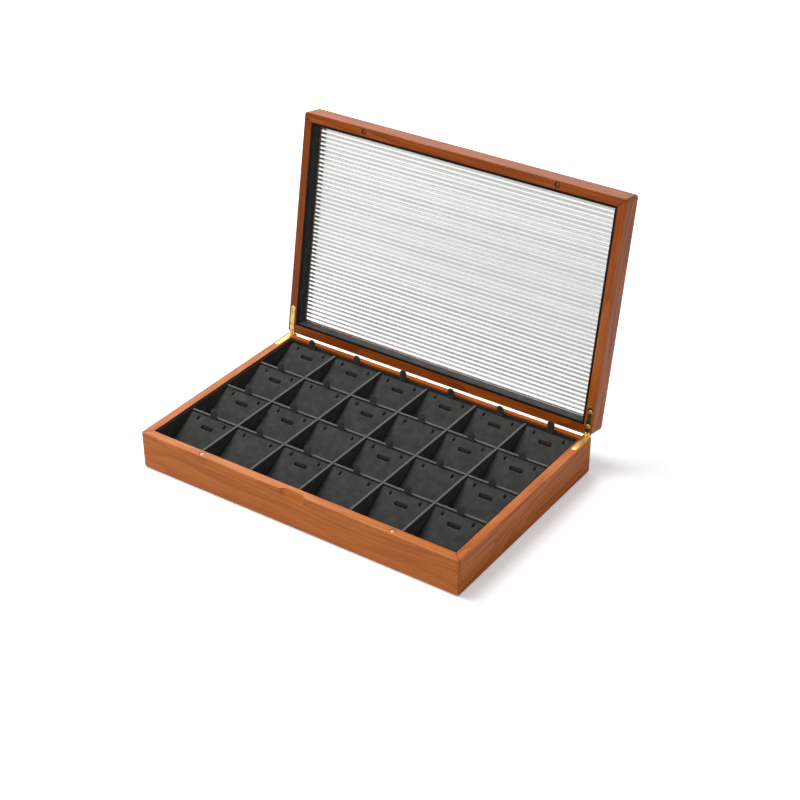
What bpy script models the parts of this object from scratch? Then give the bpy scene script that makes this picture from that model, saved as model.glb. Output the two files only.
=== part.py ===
"""Wooden jewellery case with a ribbed clear window in its hinged lid and 24 lift-out pendant pads.

Metres, +Z up. The origin lies on the ground under the middle of the base; the front is towards -Y.
The lid's pieces are modelled shut and turn with an empty on the hinge axis to the open pose.
"""

import math

import bmesh
import bpy
from mathutils import Matrix, Vector

# Case
CASE_WIDTH = 0.350
CASE_DEPTH = 0.228
BASE_HEIGHT = 0.0385
LID_HEIGHT = 0.023
RAIL_THICKNESS = 0.0087
CORNER_RADIUS = 0.003
ARRIS = 0.0008
MITRE_GAP = 0.0003
FIT_GAP = 0.0003
LID_CLOSED_GAP = 0.0003
LID_OPEN_DEGREES = 100.0

# Bottom panel
PANEL_THICKNESS = 0.0032
RABBET_WIDTH = 0.0035

# Lining tray and its partitions
TRAY_FLOOR = 0.0018
TRAY_WALL = 0.0020
TRAY_BELOW_RIM = 0.0018
PARTITION_THICKNESS = 0.0024
PARTITION_BELOW_RIM = 0.0021
CELLS_ACROSS = 6
CELLS_DEEP = 4

# Pads
PAD_SIDE_GAP = 0.0004
PAD_FRONT_THICKNESS = 0.0027
PAD_BELOW_PARTITION = 0.0016
PAD_EDGE_RADIUS = 0.0014
PAD_CROWN = 0.0006
PAD_CROWN_INSET = 0.011
SLOT_LENGTH = 0.014
SLOT_WIDTH = 0.0035
SLOT_DEPTH = 0.007
SLOT_FROM_BACK = 0.0103
SLIT_WIDTH = 0.001
SLIT_LENGTH = 0.0037
SLIT_DEPTH = 0.006
SLIT_FROM_BACK = 0.0041
SLIT_FROM_SIDE = 0.010
TAB_WIDTH = 0.0075
TAB_THICKNESS = 0.001
TAB_FROM_BACK = 0.0002
TAB_RISE = 0.0087
TAB_RISE_BACK_ROW = 0.011
TAB_ROOT = 0.004
PLAIN_PADS = ((2, 2), (2, 4), (3, 3), (3, 5), (4, 2), (4, 4))  # row from the back, column from the left

# Lid window and lining
WINDOW_THICKNESS = 0.0024
WINDOW_SETBACK = 0.0131  # from the lid's mating face to the tips of the ribs
PANE_SEAT_WIDTH = 0.0048
RIB_PITCH = 0.00425
RIB_HEIGHT = 0.0009
RIB_OUTLINE_SHARES = ((0.06, 0), (0.28, 0.9), (0.5, 1), (0.72, 0.9), (0.94, 0))  # of pitch, of height
LINING_THICKNESS = 0.0023
LINING_SETBACK = 0.0004

# Hinges
HINGE_AXIS_INSET = 0.0008
HINGE_AXIS_RISE = 0.0025
LEAF_WIDTH = 0.005
LEAF_LENGTH = 0.0285
LEAF_THICKNESS = 0.0011
BARREL_RADIUS = 0.0019
PIN_RADIUS = 0.00075
LID_KNUCKLE_WIDTH = 0.0014
KNUCKLE_GAP = 0.0003
KNUCKLE_FOOT_REACH = 0.0012
LEAF_OVERLAP = 0.0004
KNUCKLE_CLEARANCE = 0.0004
REAR_SCREW_INSET = 0.0088
FRONT_SCREW_INSET = 0.0233
SCREW_HEAD_RADIUS = 0.0016
SCREW_HEAD_RISE = 0.0001
SCREW_SHANK_RADIUS = 0.0008
SCREW_LENGTH = 0.006

# Catch magnets, thumb notch and the back rail's chamfer
MAGNET_RADIUS = 0.0025
MAGNET_THICKNESS = 0.002
MAGNET_SPACING = 0.210
NOTCH_LENGTH = 0.029
NOTCH_INNER_LENGTH = 0.021
NOTCH_DEPTH = 0.0038
NOTCH_HEIGHT = 0.011
BACK_CHAMFER = 0.0038

OVERRUN = 0.004  # how far a cutter runs past what it cuts
CORNER_SEGMENTS = 3
PAD_EDGE_SEGMENTS = 2
CIRCLE_SIDES = 16
BARREL_STEPS = 12
HALF_ROUND_STEPS = 6
SLOT_END_STEPS = 4
CORNER_SIGNS = ((-1, -1), (1, -1), (1, 1), (-1, 1))
ROUND_PROFILE_SHARE = 0.5
SHARP_DEGREES = 40

# Places worked out from the sizes
HALF_WIDTH = CASE_WIDTH / 2
HALF_DEPTH = CASE_DEPTH / 2
LID_BOTTOM = BASE_HEIGHT + LID_CLOSED_GAP
LID_TOP = LID_BOTTOM + LID_HEIGHT
RAIL_MIDDLE = RAIL_THICKNESS / 2
HINGE_AXIS = Vector((0, HALF_DEPTH - HINGE_AXIS_INSET, BASE_HEIGHT + HINGE_AXIS_RISE))
OPENING_HALF_WIDTH = HALF_WIDTH - RAIL_THICKNESS
OPENING_HALF_DEPTH = HALF_DEPTH - RAIL_THICKNESS
TRAY_BOTTOM = PANEL_THICKNESS + FIT_GAP
TRAY_TOP = BASE_HEIGHT - TRAY_BELOW_RIM
TRAY_INNER_HALF_WIDTH = OPENING_HALF_WIDTH - FIT_GAP - TRAY_WALL
TRAY_INNER_HALF_DEPTH = OPENING_HALF_DEPTH - FIT_GAP - TRAY_WALL
SEAT_LEVEL = TRAY_BOTTOM + TRAY_FLOOR + FIT_GAP
PARTITION_TOP = BASE_HEIGHT - PARTITION_BELOW_RIM
CELL_WIDTH = (2 * TRAY_INNER_HALF_WIDTH - (CELLS_ACROSS - 1) * PARTITION_THICKNESS) / CELLS_ACROSS
CELL_DEPTH = (2 * TRAY_INNER_HALF_DEPTH - (CELLS_DEEP - 1) * PARTITION_THICKNESS) / CELLS_DEEP
RIB_TIPS = LID_BOTTOM + WINDOW_SETBACK
WINDOW_TOP = RIB_TIPS + RIB_HEIGHT + WINDOW_THICKNESS
HINGE_X = HALF_WIDTH - RAIL_MIDDLE


def linear(hex_colour):
    """The scene-linear RGBA of an sRGB colour such as 'A8643A'."""
    shares = [int(hex_colour[i : i + 2], 16) / 255 for i in (0, 2, 4)]
    return (*[s / 12.92 if s <= 0.04045 else ((s + 0.055) / 1.055) ** 2.4 for s in shares], 1)


def principled(name, hex_colour, roughness, metallic=0.0, transmission=0.0):
    material = bpy.data.materials.new(name)
    material.use_nodes = True
    shader = material.node_tree.nodes["Principled BSDF"]
    shader.inputs["Base Color"].default_value = linear(hex_colour)
    shader.inputs["Roughness"].default_value = roughness
    shader.inputs["Metallic"].default_value = metallic
    shader.inputs["Transmission Weight"].default_value = transmission
    return material


def new_object(name, bm, material=None, parent=None):
    """An object from the mesh bm, given in the shut case's frame; a parent's place becomes its origin."""
    bmesh.ops.recalc_face_normals(bm, faces=bm.faces)
    if parent:
        bm.transform(Matrix.Translation(-parent.location))
    mesh = bpy.data.meshes.new(name)
    bm.to_mesh(mesh)
    bm.free()
    obj = bpy.data.objects.new(name, mesh)
    bpy.context.scene.collection.objects.link(obj)
    obj.parent = parent
    if material:
        mesh.materials.append(material)
    return obj


def new_cutter(name, bm, parent=None):
    """A hidden object that shapes others."""
    cutter = new_object(name, bm, parent=parent)
    cutter.hide_render = True
    cutter.display_type = "WIRE"
    return cutter


def shape(obj, cutter, operation="DIFFERENCE"):
    modifier = obj.modifiers.new(cutter.name, "BOOLEAN")
    modifier.object = cutter
    modifier.operation = operation
    modifier.solver = "EXACT"


def shade_round(mesh):
    mesh.shade_smooth()
    mesh.set_sharp_from_angle(angle=math.radians(SHARP_DEGREES))


def box(low, high, bm=None):
    """A box between two corners, added to bm where one is given."""
    bm = bm or bmesh.new()
    low, high = Vector(low), Vector(high)
    place = Matrix.Translation((low + high) / 2) @ Matrix.Diagonal((*(high - low), 1))
    bmesh.ops.create_cube(bm, size=1, matrix=place)
    return bm


def centred_box(half_width, half_depth, bottom, top):
    return box((-half_width, -half_depth, bottom), (half_width, half_depth, top))


def prism(outline, low, high, axis, bm=None):
    """A flat outline drawn out from low to high along an axis; its two coordinates are the other axes."""
    bm = bm or bmesh.new()
    index = "XYZ".index(axis)
    rings = []
    for level in (low, high):
        corners = [list(point) for point in outline]
        for corner in corners:
            corner.insert(index, level)
        rings.append([bm.verts.new(corner) for corner in corners])
    bm.faces.new(rings[0])
    bm.faces.new(reversed(rings[1]))
    for i, (a, b) in enumerate(zip(*rings)):
        bm.faces.new((rings[0][i - 1], a, b, rings[1][i - 1]))
    bmesh.ops.recalc_face_normals(bm, faces=bm.faces)
    return bm


def arc(centre, radius, start_degrees, end_degrees, steps):
    """Points along an arc in a plane, both ends included."""
    turn = end_degrees - start_degrees
    angles = [math.radians(start_degrees + turn * i / steps) for i in range(steps + 1)]
    return [(centre[0] + radius * math.cos(a), centre[1] + radius * math.sin(a)) for a in angles]


def circle(centre, radius):
    return arc(centre, radius, 0, 360, CIRCLE_SIDES)[:-1]


def hexahedron(bottom, top):
    """A closed body between four lower and four upper corners."""
    bm = bmesh.new()
    lower, upper = [[bm.verts.new(corner) for corner in ring] for ring in (bottom, top)]
    bm.faces.new(reversed(lower))
    bm.faces.new(upper)
    for i in range(4):
        bm.faces.new((lower[i - 1], lower[i], upper[i], upper[i - 1]))
    return bm


def round_edges(bm, edges, radius, segments):
    bmesh.ops.bevel(
        bm, geom=edges, offset=radius, segments=segments, profile=ROUND_PROFILE_SHARE, affect="EDGES"
    )


def rounded_envelope(bottom, top, rounded_level, mating_level):
    """The whole frame's outer shape: rounded corners and outer edge, an eased edge at the mating face."""
    bm = centred_box(HALF_WIDTH, HALF_DEPTH, bottom, top)

    def at_level(edge, level):
        return all(abs(v.co.z - level) < ARRIS / 10 for v in edge.verts)

    rounded = [e for e in bm.edges if not at_level(e, mating_level)]
    round_edges(bm, rounded, CORNER_RADIUS, CORNER_SEGMENTS)
    eased = [e for e in bm.edges if at_level(e, mating_level)]
    round_edges(bm, eased, ARRIS, 1)
    return bm


def mitred_rail(side, bottom, top):
    """A straight rail with mitred ends, plain inside and oversize outside for the envelope to trim."""
    along, across = (HALF_WIDTH, HALF_DEPTH) if side in ("front", "back") else (HALF_DEPTH, HALF_WIDTH)
    shift = MITRE_GAP / math.sqrt(2)
    outline = [
        (-along - OVERRUN + shift, -across - OVERRUN),
        (along + OVERRUN - shift, -across - OVERRUN),
        (along - RAIL_THICKNESS - shift, -across + RAIL_THICKNESS),
        (-along + RAIL_THICKNESS + shift, -across + RAIL_THICKNESS),
    ]
    bm = prism(outline, bottom - OVERRUN, top + OVERRUN, "Z")
    turns = {"front": 0, "right": 1, "back": 2, "left": 3}[side]
    bm.transform(Matrix.Rotation(turns * math.pi / 2, 4, "Z"))
    return bm


def leaf_outline(x, margin, back):
    """A hinge leaf seen from above: straight sides, a round free end and a square end at the back."""
    radius = LEAF_WIDTH / 2 + margin
    end = HALF_DEPTH - LEAF_LENGTH + LEAF_WIDTH / 2
    return [(x + radius, back), (x - radius, back), *arc((x, end), radius, 180, 360, HALF_ROUND_STEPS)]


def screw_places(x):
    return [(x, HALF_DEPTH - inset) for inset in (REAR_SCREW_INSET, FRONT_SCREW_INSET)]


def magnet_places():
    return [(x, RAIL_MIDDLE - HALF_DEPTH) for x in (-MAGNET_SPACING / 2, MAGNET_SPACING / 2)]


def pockets(name, places, radius, bottom, top, parent=None):
    bm = bmesh.new()
    for place in places:
        prism(circle(place, radius), bottom, top, "Z", bm)
    return new_cutter(name, bm, parent)


def leaf_pockets(name, bottom, top, parent=None):
    bm = bmesh.new()
    for x in (-HINGE_X, HINGE_X):
        prism(leaf_outline(x, FIT_GAP, HALF_DEPTH + OVERRUN), bottom, top, "Z", bm)
    return new_cutter(name, bm, parent)


def build_base_frame(wood):
    """Four mitred rails with a rabbet for the bottom panel, and pockets for hinges and magnets."""
    envelope = new_cutter("base_envelope", rounded_envelope(0, BASE_HEIGHT, 0, BASE_HEIGHT))
    rabbet_half_width = OPENING_HALF_WIDTH + RABBET_WIDTH
    rabbet_half_depth = OPENING_HALF_DEPTH + RABBET_WIDTH
    rabbet = new_cutter(
        "base_rabbet", centred_box(rabbet_half_width, rabbet_half_depth, -OVERRUN, PANEL_THICKNESS + FIT_GAP)
    )
    leaves = leaf_pockets("base_leaf_pockets", BASE_HEIGHT - LEAF_THICKNESS - FIT_GAP, BASE_HEIGHT + OVERRUN)
    screws = pockets(
        "base_screw_holes",
        screw_places(-HINGE_X) + screw_places(HINGE_X),
        SCREW_SHANK_RADIUS + FIT_GAP,
        BASE_HEIGHT - SCREW_LENGTH - FIT_GAP,
        BASE_HEIGHT - LEAF_THICKNESS,
    )
    magnets = pockets(
        "base_magnet_pockets",
        magnet_places(),
        MAGNET_RADIUS + FIT_GAP,
        BASE_HEIGHT - MAGNET_THICKNESS - FIT_GAP,
        BASE_HEIGHT + OVERRUN,
    )
    cutters = {
        "front": (rabbet, magnets, build_thumb_notch()),
        "back": (rabbet, leaves, build_back_chamfer()),
        "left": (rabbet, leaves, screws),
        "right": (rabbet, leaves, screws),
    }
    for side, used in cutters.items():
        rail = new_object(f"base_{side}_rail", mitred_rail(side, 0, BASE_HEIGHT), wood)
        shape(rail, envelope, "INTERSECT")
        for cutter in used:
            shape(rail, cutter)
        shade_round(rail.data)
    panel = centred_box(rabbet_half_width - FIT_GAP, rabbet_half_depth - FIT_GAP, 0, PANEL_THICKNESS)
    new_object("base_bottom_panel", panel, wood)


def build_thumb_notch():
    """The scoop in the front rail's top edge: sloped bottom, ends that narrow inwards."""
    front = -HALF_DEPTH
    fall = NOTCH_HEIGHT / NOTCH_DEPTH
    taper = (NOTCH_LENGTH - NOTCH_INNER_LENGTH) / 2 / NOTCH_DEPTH
    outer_half = NOTCH_LENGTH / 2 + OVERRUN * taper
    inner_half = NOTCH_INNER_LENGTH / 2
    outer_y, inner_y = front - OVERRUN, front + NOTCH_DEPTH
    outer_z = BASE_HEIGHT - NOTCH_HEIGHT - OVERRUN * fall
    plan = [(-outer_half, outer_y), (outer_half, outer_y), (inner_half, inner_y), (-inner_half, inner_y)]
    floor = [outer_z, outer_z, BASE_HEIGHT, BASE_HEIGHT]
    return new_cutter(
        "thumb_notch",
        hexahedron(
            [(x, y, z) for (x, y), z in zip(plan, floor)], [(x, y, BASE_HEIGHT + OVERRUN) for x, y in plan]
        ),
    )


def build_back_chamfer():
    """The slope along the back rail's outer top edge, between the hinges, that clears the open lid."""
    back, rim = HALF_DEPTH + OVERRUN, BASE_HEIGHT + OVERRUN
    reach = BACK_CHAMFER + 2 * OVERRUN
    outline = [(back, rim - reach), (back, rim), (back - reach, rim)]
    return new_cutter("back_chamfer", prism(outline, -OPENING_HALF_WIDTH, OPENING_HALF_WIDTH, "X"))


def build_tray(fabric):
    """The covered tray that lines the base, a floor with four walls."""
    outer_half_width = OPENING_HALF_WIDTH - FIT_GAP
    outer_half_depth = OPENING_HALF_DEPTH - FIT_GAP
    tray = new_object(
        "liner_tray", centred_box(outer_half_width, outer_half_depth, TRAY_BOTTOM, TRAY_TOP), fabric
    )
    hollow = centred_box(
        TRAY_INNER_HALF_WIDTH, TRAY_INNER_HALF_DEPTH, TRAY_BOTTOM + TRAY_FLOOR, TRAY_TOP + OVERRUN
    )
    shape(tray, new_cutter("tray_hollow", hollow))


def partition_outline(half_length, crossings, slot_from_top):
    """A partition seen from its side, notched half its height wherever another crosses it."""
    bottom, top = SEAT_LEVEL, PARTITION_TOP
    middle = (bottom + top) / 2
    half_slot = PARTITION_THICKNESS / 2 + FIT_GAP
    edge, far, notch = (
        (top, bottom, middle - FIT_GAP / 2) if slot_from_top else (bottom, top, middle + FIT_GAP / 2)
    )
    outline = [(-half_length, far), (-half_length, edge)]
    for place in crossings:
        outline += [(place - half_slot, edge), (place - half_slot, notch)]
        outline += [(place + half_slot, notch), (place + half_slot, edge)]
    return outline + [(half_length, edge), (half_length, far)]


def partition_places(count, pitch):
    """The middles of the partitions between count cells."""
    return [(i - count / 2) * pitch for i in range(1, count)]


def build_partitions(fabric):
    across = partition_places(CELLS_ACROSS, CELL_WIDTH + PARTITION_THICKNESS)
    deep = partition_places(CELLS_DEEP, CELL_DEPTH + PARTITION_THICKNESS)
    half = PARTITION_THICKNESS / 2
    for i, y in enumerate(reversed(deep), 1):
        outline = partition_outline(TRAY_INNER_HALF_WIDTH - FIT_GAP, across, True)
        new_object(f"partition_long_{i}", prism(outline, y - half, y + half, "Y"), fabric)
    for i, x in enumerate(across, 1):
        outline = partition_outline(TRAY_INNER_HALF_DEPTH - FIT_GAP, deep, False)
        new_object(f"partition_cross_{i}", prism(outline, x - half, x + half, "X"), fabric)


def pad_surface(y, front_y, back_y, back_height):
    """The pad's sloped top, without its crown, above its underside."""
    share = (y - front_y) / (back_y - front_y)
    return PAD_FRONT_THICKNESS + share * (back_height - PAD_FRONT_THICKNESS)


def pad_mesh(name, fabric, has_slot, tab_rise):
    """A covered foam wedge on its underside's middle: crowned slope, two slits, a slot and a pull tab."""
    half_width = CELL_WIDTH / 2 - PAD_SIDE_GAP
    half_depth = CELL_DEPTH / 2 - PAD_SIDE_GAP
    back_height = PARTITION_TOP - SEAT_LEVEL - PAD_BELOW_PARTITION

    def surface(y):
        return pad_surface(y, -half_depth, half_depth, back_height)

    corners = [(a * half_width, b * half_depth) for a, b in CORNER_SIGNS]
    bm = hexahedron([(x, y, 0) for x, y in corners], [(x, y, surface(y)) for x, y in corners])
    bmesh.ops.recalc_face_normals(bm, faces=bm.faces)
    soft = [e for e in bm.edges if any(v.co.z > 0 for v in e.verts)]
    round_edges(bm, soft, PAD_EDGE_RADIUS, PAD_EDGE_SEGMENTS)
    top = max(bm.faces, key=lambda f: f.calc_area() if f.normal.z > 0 else 0)
    bmesh.ops.inset_region(bm, faces=[top], thickness=PAD_CROWN_INSET, depth=0, use_even_offset=True)
    for v in top.verts:
        v.co.z += PAD_CROWN
    pad = new_object(name, bm, fabric)
    helpers = []

    def cut(label, x, y, size_x, size_y, depth, round_ends):
        middle = surface(y)
        if round_ends:
            radius = size_y / 2
            reach = size_x / 2 - radius
            outline = arc((x + reach, y), radius, -90, 90, SLOT_END_STEPS)
            outline += arc((x - reach, y), radius, 90, 270, SLOT_END_STEPS)
        else:
            outline = [(x + a * size_x / 2, y + b * size_y / 2) for a, b in CORNER_SIGNS]
        helpers.append(new_cutter(label, prism(outline, middle - depth, back_height + OVERRUN, "Z")))
        shape(pad, helpers[-1])

    slit_y = half_depth - SLIT_FROM_BACK
    for side in (-1, 1):
        slit_x = side * (half_width - SLIT_FROM_SIDE)
        cut(f"slit_{side}", slit_x, slit_y, SLIT_WIDTH, SLIT_LENGTH, SLIT_DEPTH, False)
    if has_slot:
        cut("slot", 0, half_depth - SLOT_FROM_BACK, SLOT_LENGTH, SLOT_WIDTH, SLOT_DEPTH, True)
    tab_back = half_depth - TAB_FROM_BACK
    radius = TAB_WIDTH / 2
    tab_outline = [(-radius, back_height - TAB_ROOT), (radius, back_height - TAB_ROOT)]
    tab_outline += arc((0, back_height + tab_rise - radius), radius, 0, 180, HALF_ROUND_STEPS)
    helpers.append(new_cutter("tab", prism(tab_outline, tab_back - TAB_THICKNESS, tab_back, "Y")))
    shape(pad, helpers[-1], "UNION")

    finished = bpy.data.meshes.new_from_object(pad.evaluated_get(bpy.context.evaluated_depsgraph_get()))
    finished.name = name
    for used in [pad, *helpers]:
        bpy.data.objects.remove(used)
    shade_round(finished)
    return finished


def build_pads(fabric):
    """One pad to each cell, numbered from the back row and from the left."""
    kinds = {
        "slotted_back_row": pad_mesh("pad_slotted_back_row", fabric, True, TAB_RISE_BACK_ROW),
        "slotted": pad_mesh("pad_slotted", fabric, True, TAB_RISE),
        "plain": pad_mesh("pad_plain", fabric, False, TAB_RISE),
    }
    for row in range(1, CELLS_DEEP + 1):
        for column in range(1, CELLS_ACROSS + 1):
            kind = "slotted_back_row" if row == 1 else "slotted"
            kind = "plain" if (row, column) in PLAIN_PADS else kind
            pad = bpy.data.objects.new(f"pad_r{row}_c{column}", kinds[kind])
            x = (column - (CELLS_ACROSS + 1) / 2) * (CELL_WIDTH + PARTITION_THICKNESS)
            y = ((CELLS_DEEP + 1) / 2 - row) * (CELL_DEPTH + PARTITION_THICKNESS)
            pad.location = (x, y, SEAT_LEVEL)
            bpy.context.scene.collection.objects.link(pad)


def build_lid_frame(wood, pivot):
    """Four mitred rails with an outer rabbet for the window, and pockets for hinges and magnets."""
    envelope = new_cutter("lid_envelope", rounded_envelope(LID_BOTTOM, LID_TOP, LID_TOP, LID_BOTTOM), pivot)
    rabbet = new_cutter(
        "lid_rabbet",
        centred_box(
            OPENING_HALF_WIDTH + PANE_SEAT_WIDTH,
            OPENING_HALF_DEPTH + PANE_SEAT_WIDTH,
            RIB_TIPS - FIT_GAP,
            LID_TOP + OVERRUN,
        ),
        pivot,
    )
    leaf_seat = LID_BOTTOM + LEAF_THICKNESS + FIT_GAP
    leaves = leaf_pockets("lid_leaf_pockets", LID_BOTTOM - OVERRUN, leaf_seat, pivot)
    notches = bmesh.new()
    reach = BARREL_RADIUS + KNUCKLE_CLEARANCE
    half = LEAF_WIDTH / 2 + FIT_GAP
    for x in (-HINGE_X, HINGE_X):
        low = (x - half, HINGE_AXIS.y - reach, LID_BOTTOM - OVERRUN)
        box(low, (x + half, HALF_DEPTH + OVERRUN, HINGE_AXIS.z + reach), notches)
    knuckles = new_cutter("lid_knuckle_notches", notches, pivot)
    screws = pockets(
        "lid_screw_holes",
        screw_places(-HINGE_X) + screw_places(HINGE_X),
        SCREW_SHANK_RADIUS + FIT_GAP,
        LID_BOTTOM + LEAF_THICKNESS,
        LID_BOTTOM + SCREW_LENGTH + FIT_GAP,
        pivot,
    )
    magnets = pockets(
        "lid_magnet_pockets",
        magnet_places(),
        MAGNET_RADIUS + FIT_GAP,
        LID_BOTTOM - OVERRUN,
        LID_BOTTOM + MAGNET_THICKNESS + FIT_GAP,
        pivot,
    )
    cutters = {
        "front": (rabbet, magnets),
        "back": (rabbet, leaves, knuckles),
        "left": (rabbet, leaves, knuckles, screws),
        "right": (rabbet, leaves, knuckles, screws),
    }
    for side, used in cutters.items():
        rail = new_object(f"lid_{side}_rail", mitred_rail(side, LID_BOTTOM, LID_TOP), wood, pivot)
        shape(rail, envelope, "INTERSECT")
        for cutter in used:
            shape(rail, cutter)
        shade_round(rail.data)


def build_window(clear, pivot):
    """The clear sheet in the lid's rabbet, flat outside and with ribs from side to side inside."""
    half_width = OPENING_HALF_WIDTH + PANE_SEAT_WIDTH - FIT_GAP
    half_depth = OPENING_HALF_DEPTH + PANE_SEAT_WIDTH - FIT_GAP
    count = int(2 * half_depth / RIB_PITCH)
    first = -count * RIB_PITCH / 2
    root = RIB_TIPS + RIB_HEIGHT
    outline = [(half_depth, root), (half_depth, WINDOW_TOP), (-half_depth, WINDOW_TOP), (-half_depth, root)]
    for i in range(count):
        start = first + i * RIB_PITCH
        outline += [(start + a * RIB_PITCH, root - h * RIB_HEIGHT) for a, h in RIB_OUTLINE_SHARES]
    window = new_object("lid_window", prism(outline, -half_width, half_width, "X"), clear, pivot)
    shade_round(window.data)


def build_lid_lining(fabric, pivot):
    """Four covered boards that line the lid from just inside its mating face to the window's ribs."""
    bottom, top = LID_BOTTOM + LINING_SETBACK, RIB_TIPS - FIT_GAP
    outer_x, outer_y = OPENING_HALF_WIDTH - FIT_GAP, OPENING_HALF_DEPTH - FIT_GAP
    inner_x, inner_y = outer_x - LINING_THICKNESS, outer_y - LINING_THICKNESS
    end_y = inner_y - FIT_GAP
    boards = {
        "front": ((-outer_x, -outer_y, bottom), (outer_x, -inner_y, top)),
        "back": ((-outer_x, inner_y, bottom), (outer_x, outer_y, top)),
        "left": ((-outer_x, -end_y, bottom), (-inner_x, end_y, top)),
        "right": ((inner_x, -end_y, bottom), (outer_x, end_y, top)),
    }
    for side, corners in boards.items():
        new_object(f"lid_lining_{side}", box(*corners), fabric, pivot)


def screw(place, face, down, name, parent):
    """A countersunk screw's head and shank as a turned solid; down is -1 into the base, 1 into the lid."""
    head, bottom = face - down * SCREW_HEAD_RISE, face + down * SCREW_LENGTH
    under = face + down * LEAF_THICKNESS / 2
    rings = ((SCREW_HEAD_RADIUS, head), (SCREW_SHANK_RADIUS, under), (SCREW_SHANK_RADIUS, bottom))
    bm = bmesh.new()
    loops = [[bm.verts.new((x, y, z)) for x, y in circle(place, radius)] for radius, z in rings]
    bm.faces.new(loops[0])
    bm.faces.new(loops[-1])
    for upper, lower in zip(loops, loops[1:]):
        for i in range(CIRCLE_SIDES):
            bm.faces.new((upper[i - 1], upper[i], lower[i], lower[i - 1]))
    return new_cutter(name, bm, parent)


def half_chord(offset):
    """Half the barrel circle's width at a distance from its middle."""
    return math.sqrt(BARREL_RADIUS**2 - offset**2)


def barrel_on(foot):
    """The foot's corners, then the barrel's arc round from the last of them to the first."""
    (first_y, first_z), (last_y, last_z) = foot[0], foot[-1]
    start = math.degrees(math.atan2(last_z, last_y))
    end = math.degrees(math.atan2(first_z, first_y)) % 360
    return foot + arc((0, 0), BARREL_RADIUS, start, end, BARREL_STEPS)[1:-1]


def base_knuckle():
    """The barrel and the foot that stands on the base leaf, in y and z from the axis."""
    front, back, bottom = -KNUCKLE_FOOT_REACH, HINGE_AXIS_INSET, -HINGE_AXIS_RISE - LEAF_OVERLAP
    foot = [(front, -half_chord(front)), (front, bottom), (back, bottom), (back, -half_chord(back))]
    return barrel_on(foot)


def lid_knuckle():
    """The barrel and the tongue of the lid leaf under it, in y and z from the axis, lid shut."""
    face = LID_BOTTOM - HINGE_AXIS.z
    inside = face + LEAF_THICKNESS
    root = -BARREL_RADIUS - KNUCKLE_CLEARANCE - LEAF_OVERLAP
    foot = [(-half_chord(inside), inside), (root, inside), (root, face), (0, face), (0, -BARREL_RADIUS)]
    return barrel_on(foot)


def knuckle_solid(name, outline, low, high, parent=None):
    placed = [(y + HINGE_AXIS.y, z + HINGE_AXIS.z) for y, z in outline]
    return new_cutter(name, prism(placed, low, high, "X"), parent)


def build_hinge(side, x, brass, pivot):
    """A mortised box hinge: a leaf in each rail, three knuckles and a pin."""
    half_lid = LID_KNUCKLE_WIDTH / 2
    inner = half_lid + KNUCKLE_GAP
    bore_outline = circle(tuple(HINGE_AXIS.yz), PIN_RADIUS + FIT_GAP)
    low, high = x - LEAF_WIDTH / 2, x + LEAF_WIDTH / 2

    base_face = BASE_HEIGHT
    base_plate = prism(leaf_outline(x, 0, HALF_DEPTH), base_face - LEAF_THICKNESS, base_face, "Z")
    base_leaf = new_object(f"hinge_{side}_base_leaf", base_plate, brass)
    for label, start, end in (("outer", low, x - inner), ("inner", x + inner, high)):
        shape(base_leaf, knuckle_solid(f"{side}_base_knuckle_{label}", base_knuckle(), start, end), "UNION")
    for i, place in enumerate(screw_places(x)):
        shape(base_leaf, screw(place, base_face, -1, f"{side}_base_screw_{i}", None), "UNION")
    base_bore = prism(bore_outline, low - OVERRUN, high + OVERRUN, "X")
    shape(base_leaf, new_cutter(f"{side}_base_bore", base_bore))
    shade_round(base_leaf.data)

    lid_back = HINGE_AXIS.y - BARREL_RADIUS - KNUCKLE_CLEARANCE
    lid_plate = prism(leaf_outline(x, 0, lid_back), LID_BOTTOM, LID_BOTTOM + LEAF_THICKNESS, "Z")
    lid_leaf = new_object(f"hinge_{side}_lid_leaf", lid_plate, brass, pivot)
    tongue = knuckle_solid(f"{side}_lid_knuckle", lid_knuckle(), x - half_lid, x + half_lid, pivot)
    shape(lid_leaf, tongue, "UNION")
    for i, place in enumerate(screw_places(x)):
        shape(lid_leaf, screw(place, LID_BOTTOM, 1, f"{side}_lid_screw_{i}", pivot), "UNION")
    lid_bore = prism(bore_outline, low - OVERRUN, high + OVERRUN, "X")
    shape(lid_leaf, new_cutter(f"{side}_lid_bore", lid_bore, pivot))
    shade_round(lid_leaf.data)

    pin = prism(circle(tuple(HINGE_AXIS.yz), PIN_RADIUS), low, high, "X")
    shade_round(new_object(f"hinge_{side}_pin", pin, brass).data)


def build_magnets(steel, pivot):
    """Disc magnets flush in the front rails, one pair to each side of the notch."""
    for side, place in zip(("left", "right"), magnet_places()):
        outline = circle(place, MAGNET_RADIUS)
        below = prism(outline, BASE_HEIGHT - MAGNET_THICKNESS, BASE_HEIGHT, "Z")
        shade_round(new_object(f"base_magnet_{side}", below, steel).data)
        above = prism(outline, LID_BOTTOM, LID_BOTTOM + MAGNET_THICKNESS, "Z")
        shade_round(new_object(f"lid_magnet_{side}", above, steel, pivot).data)


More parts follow.
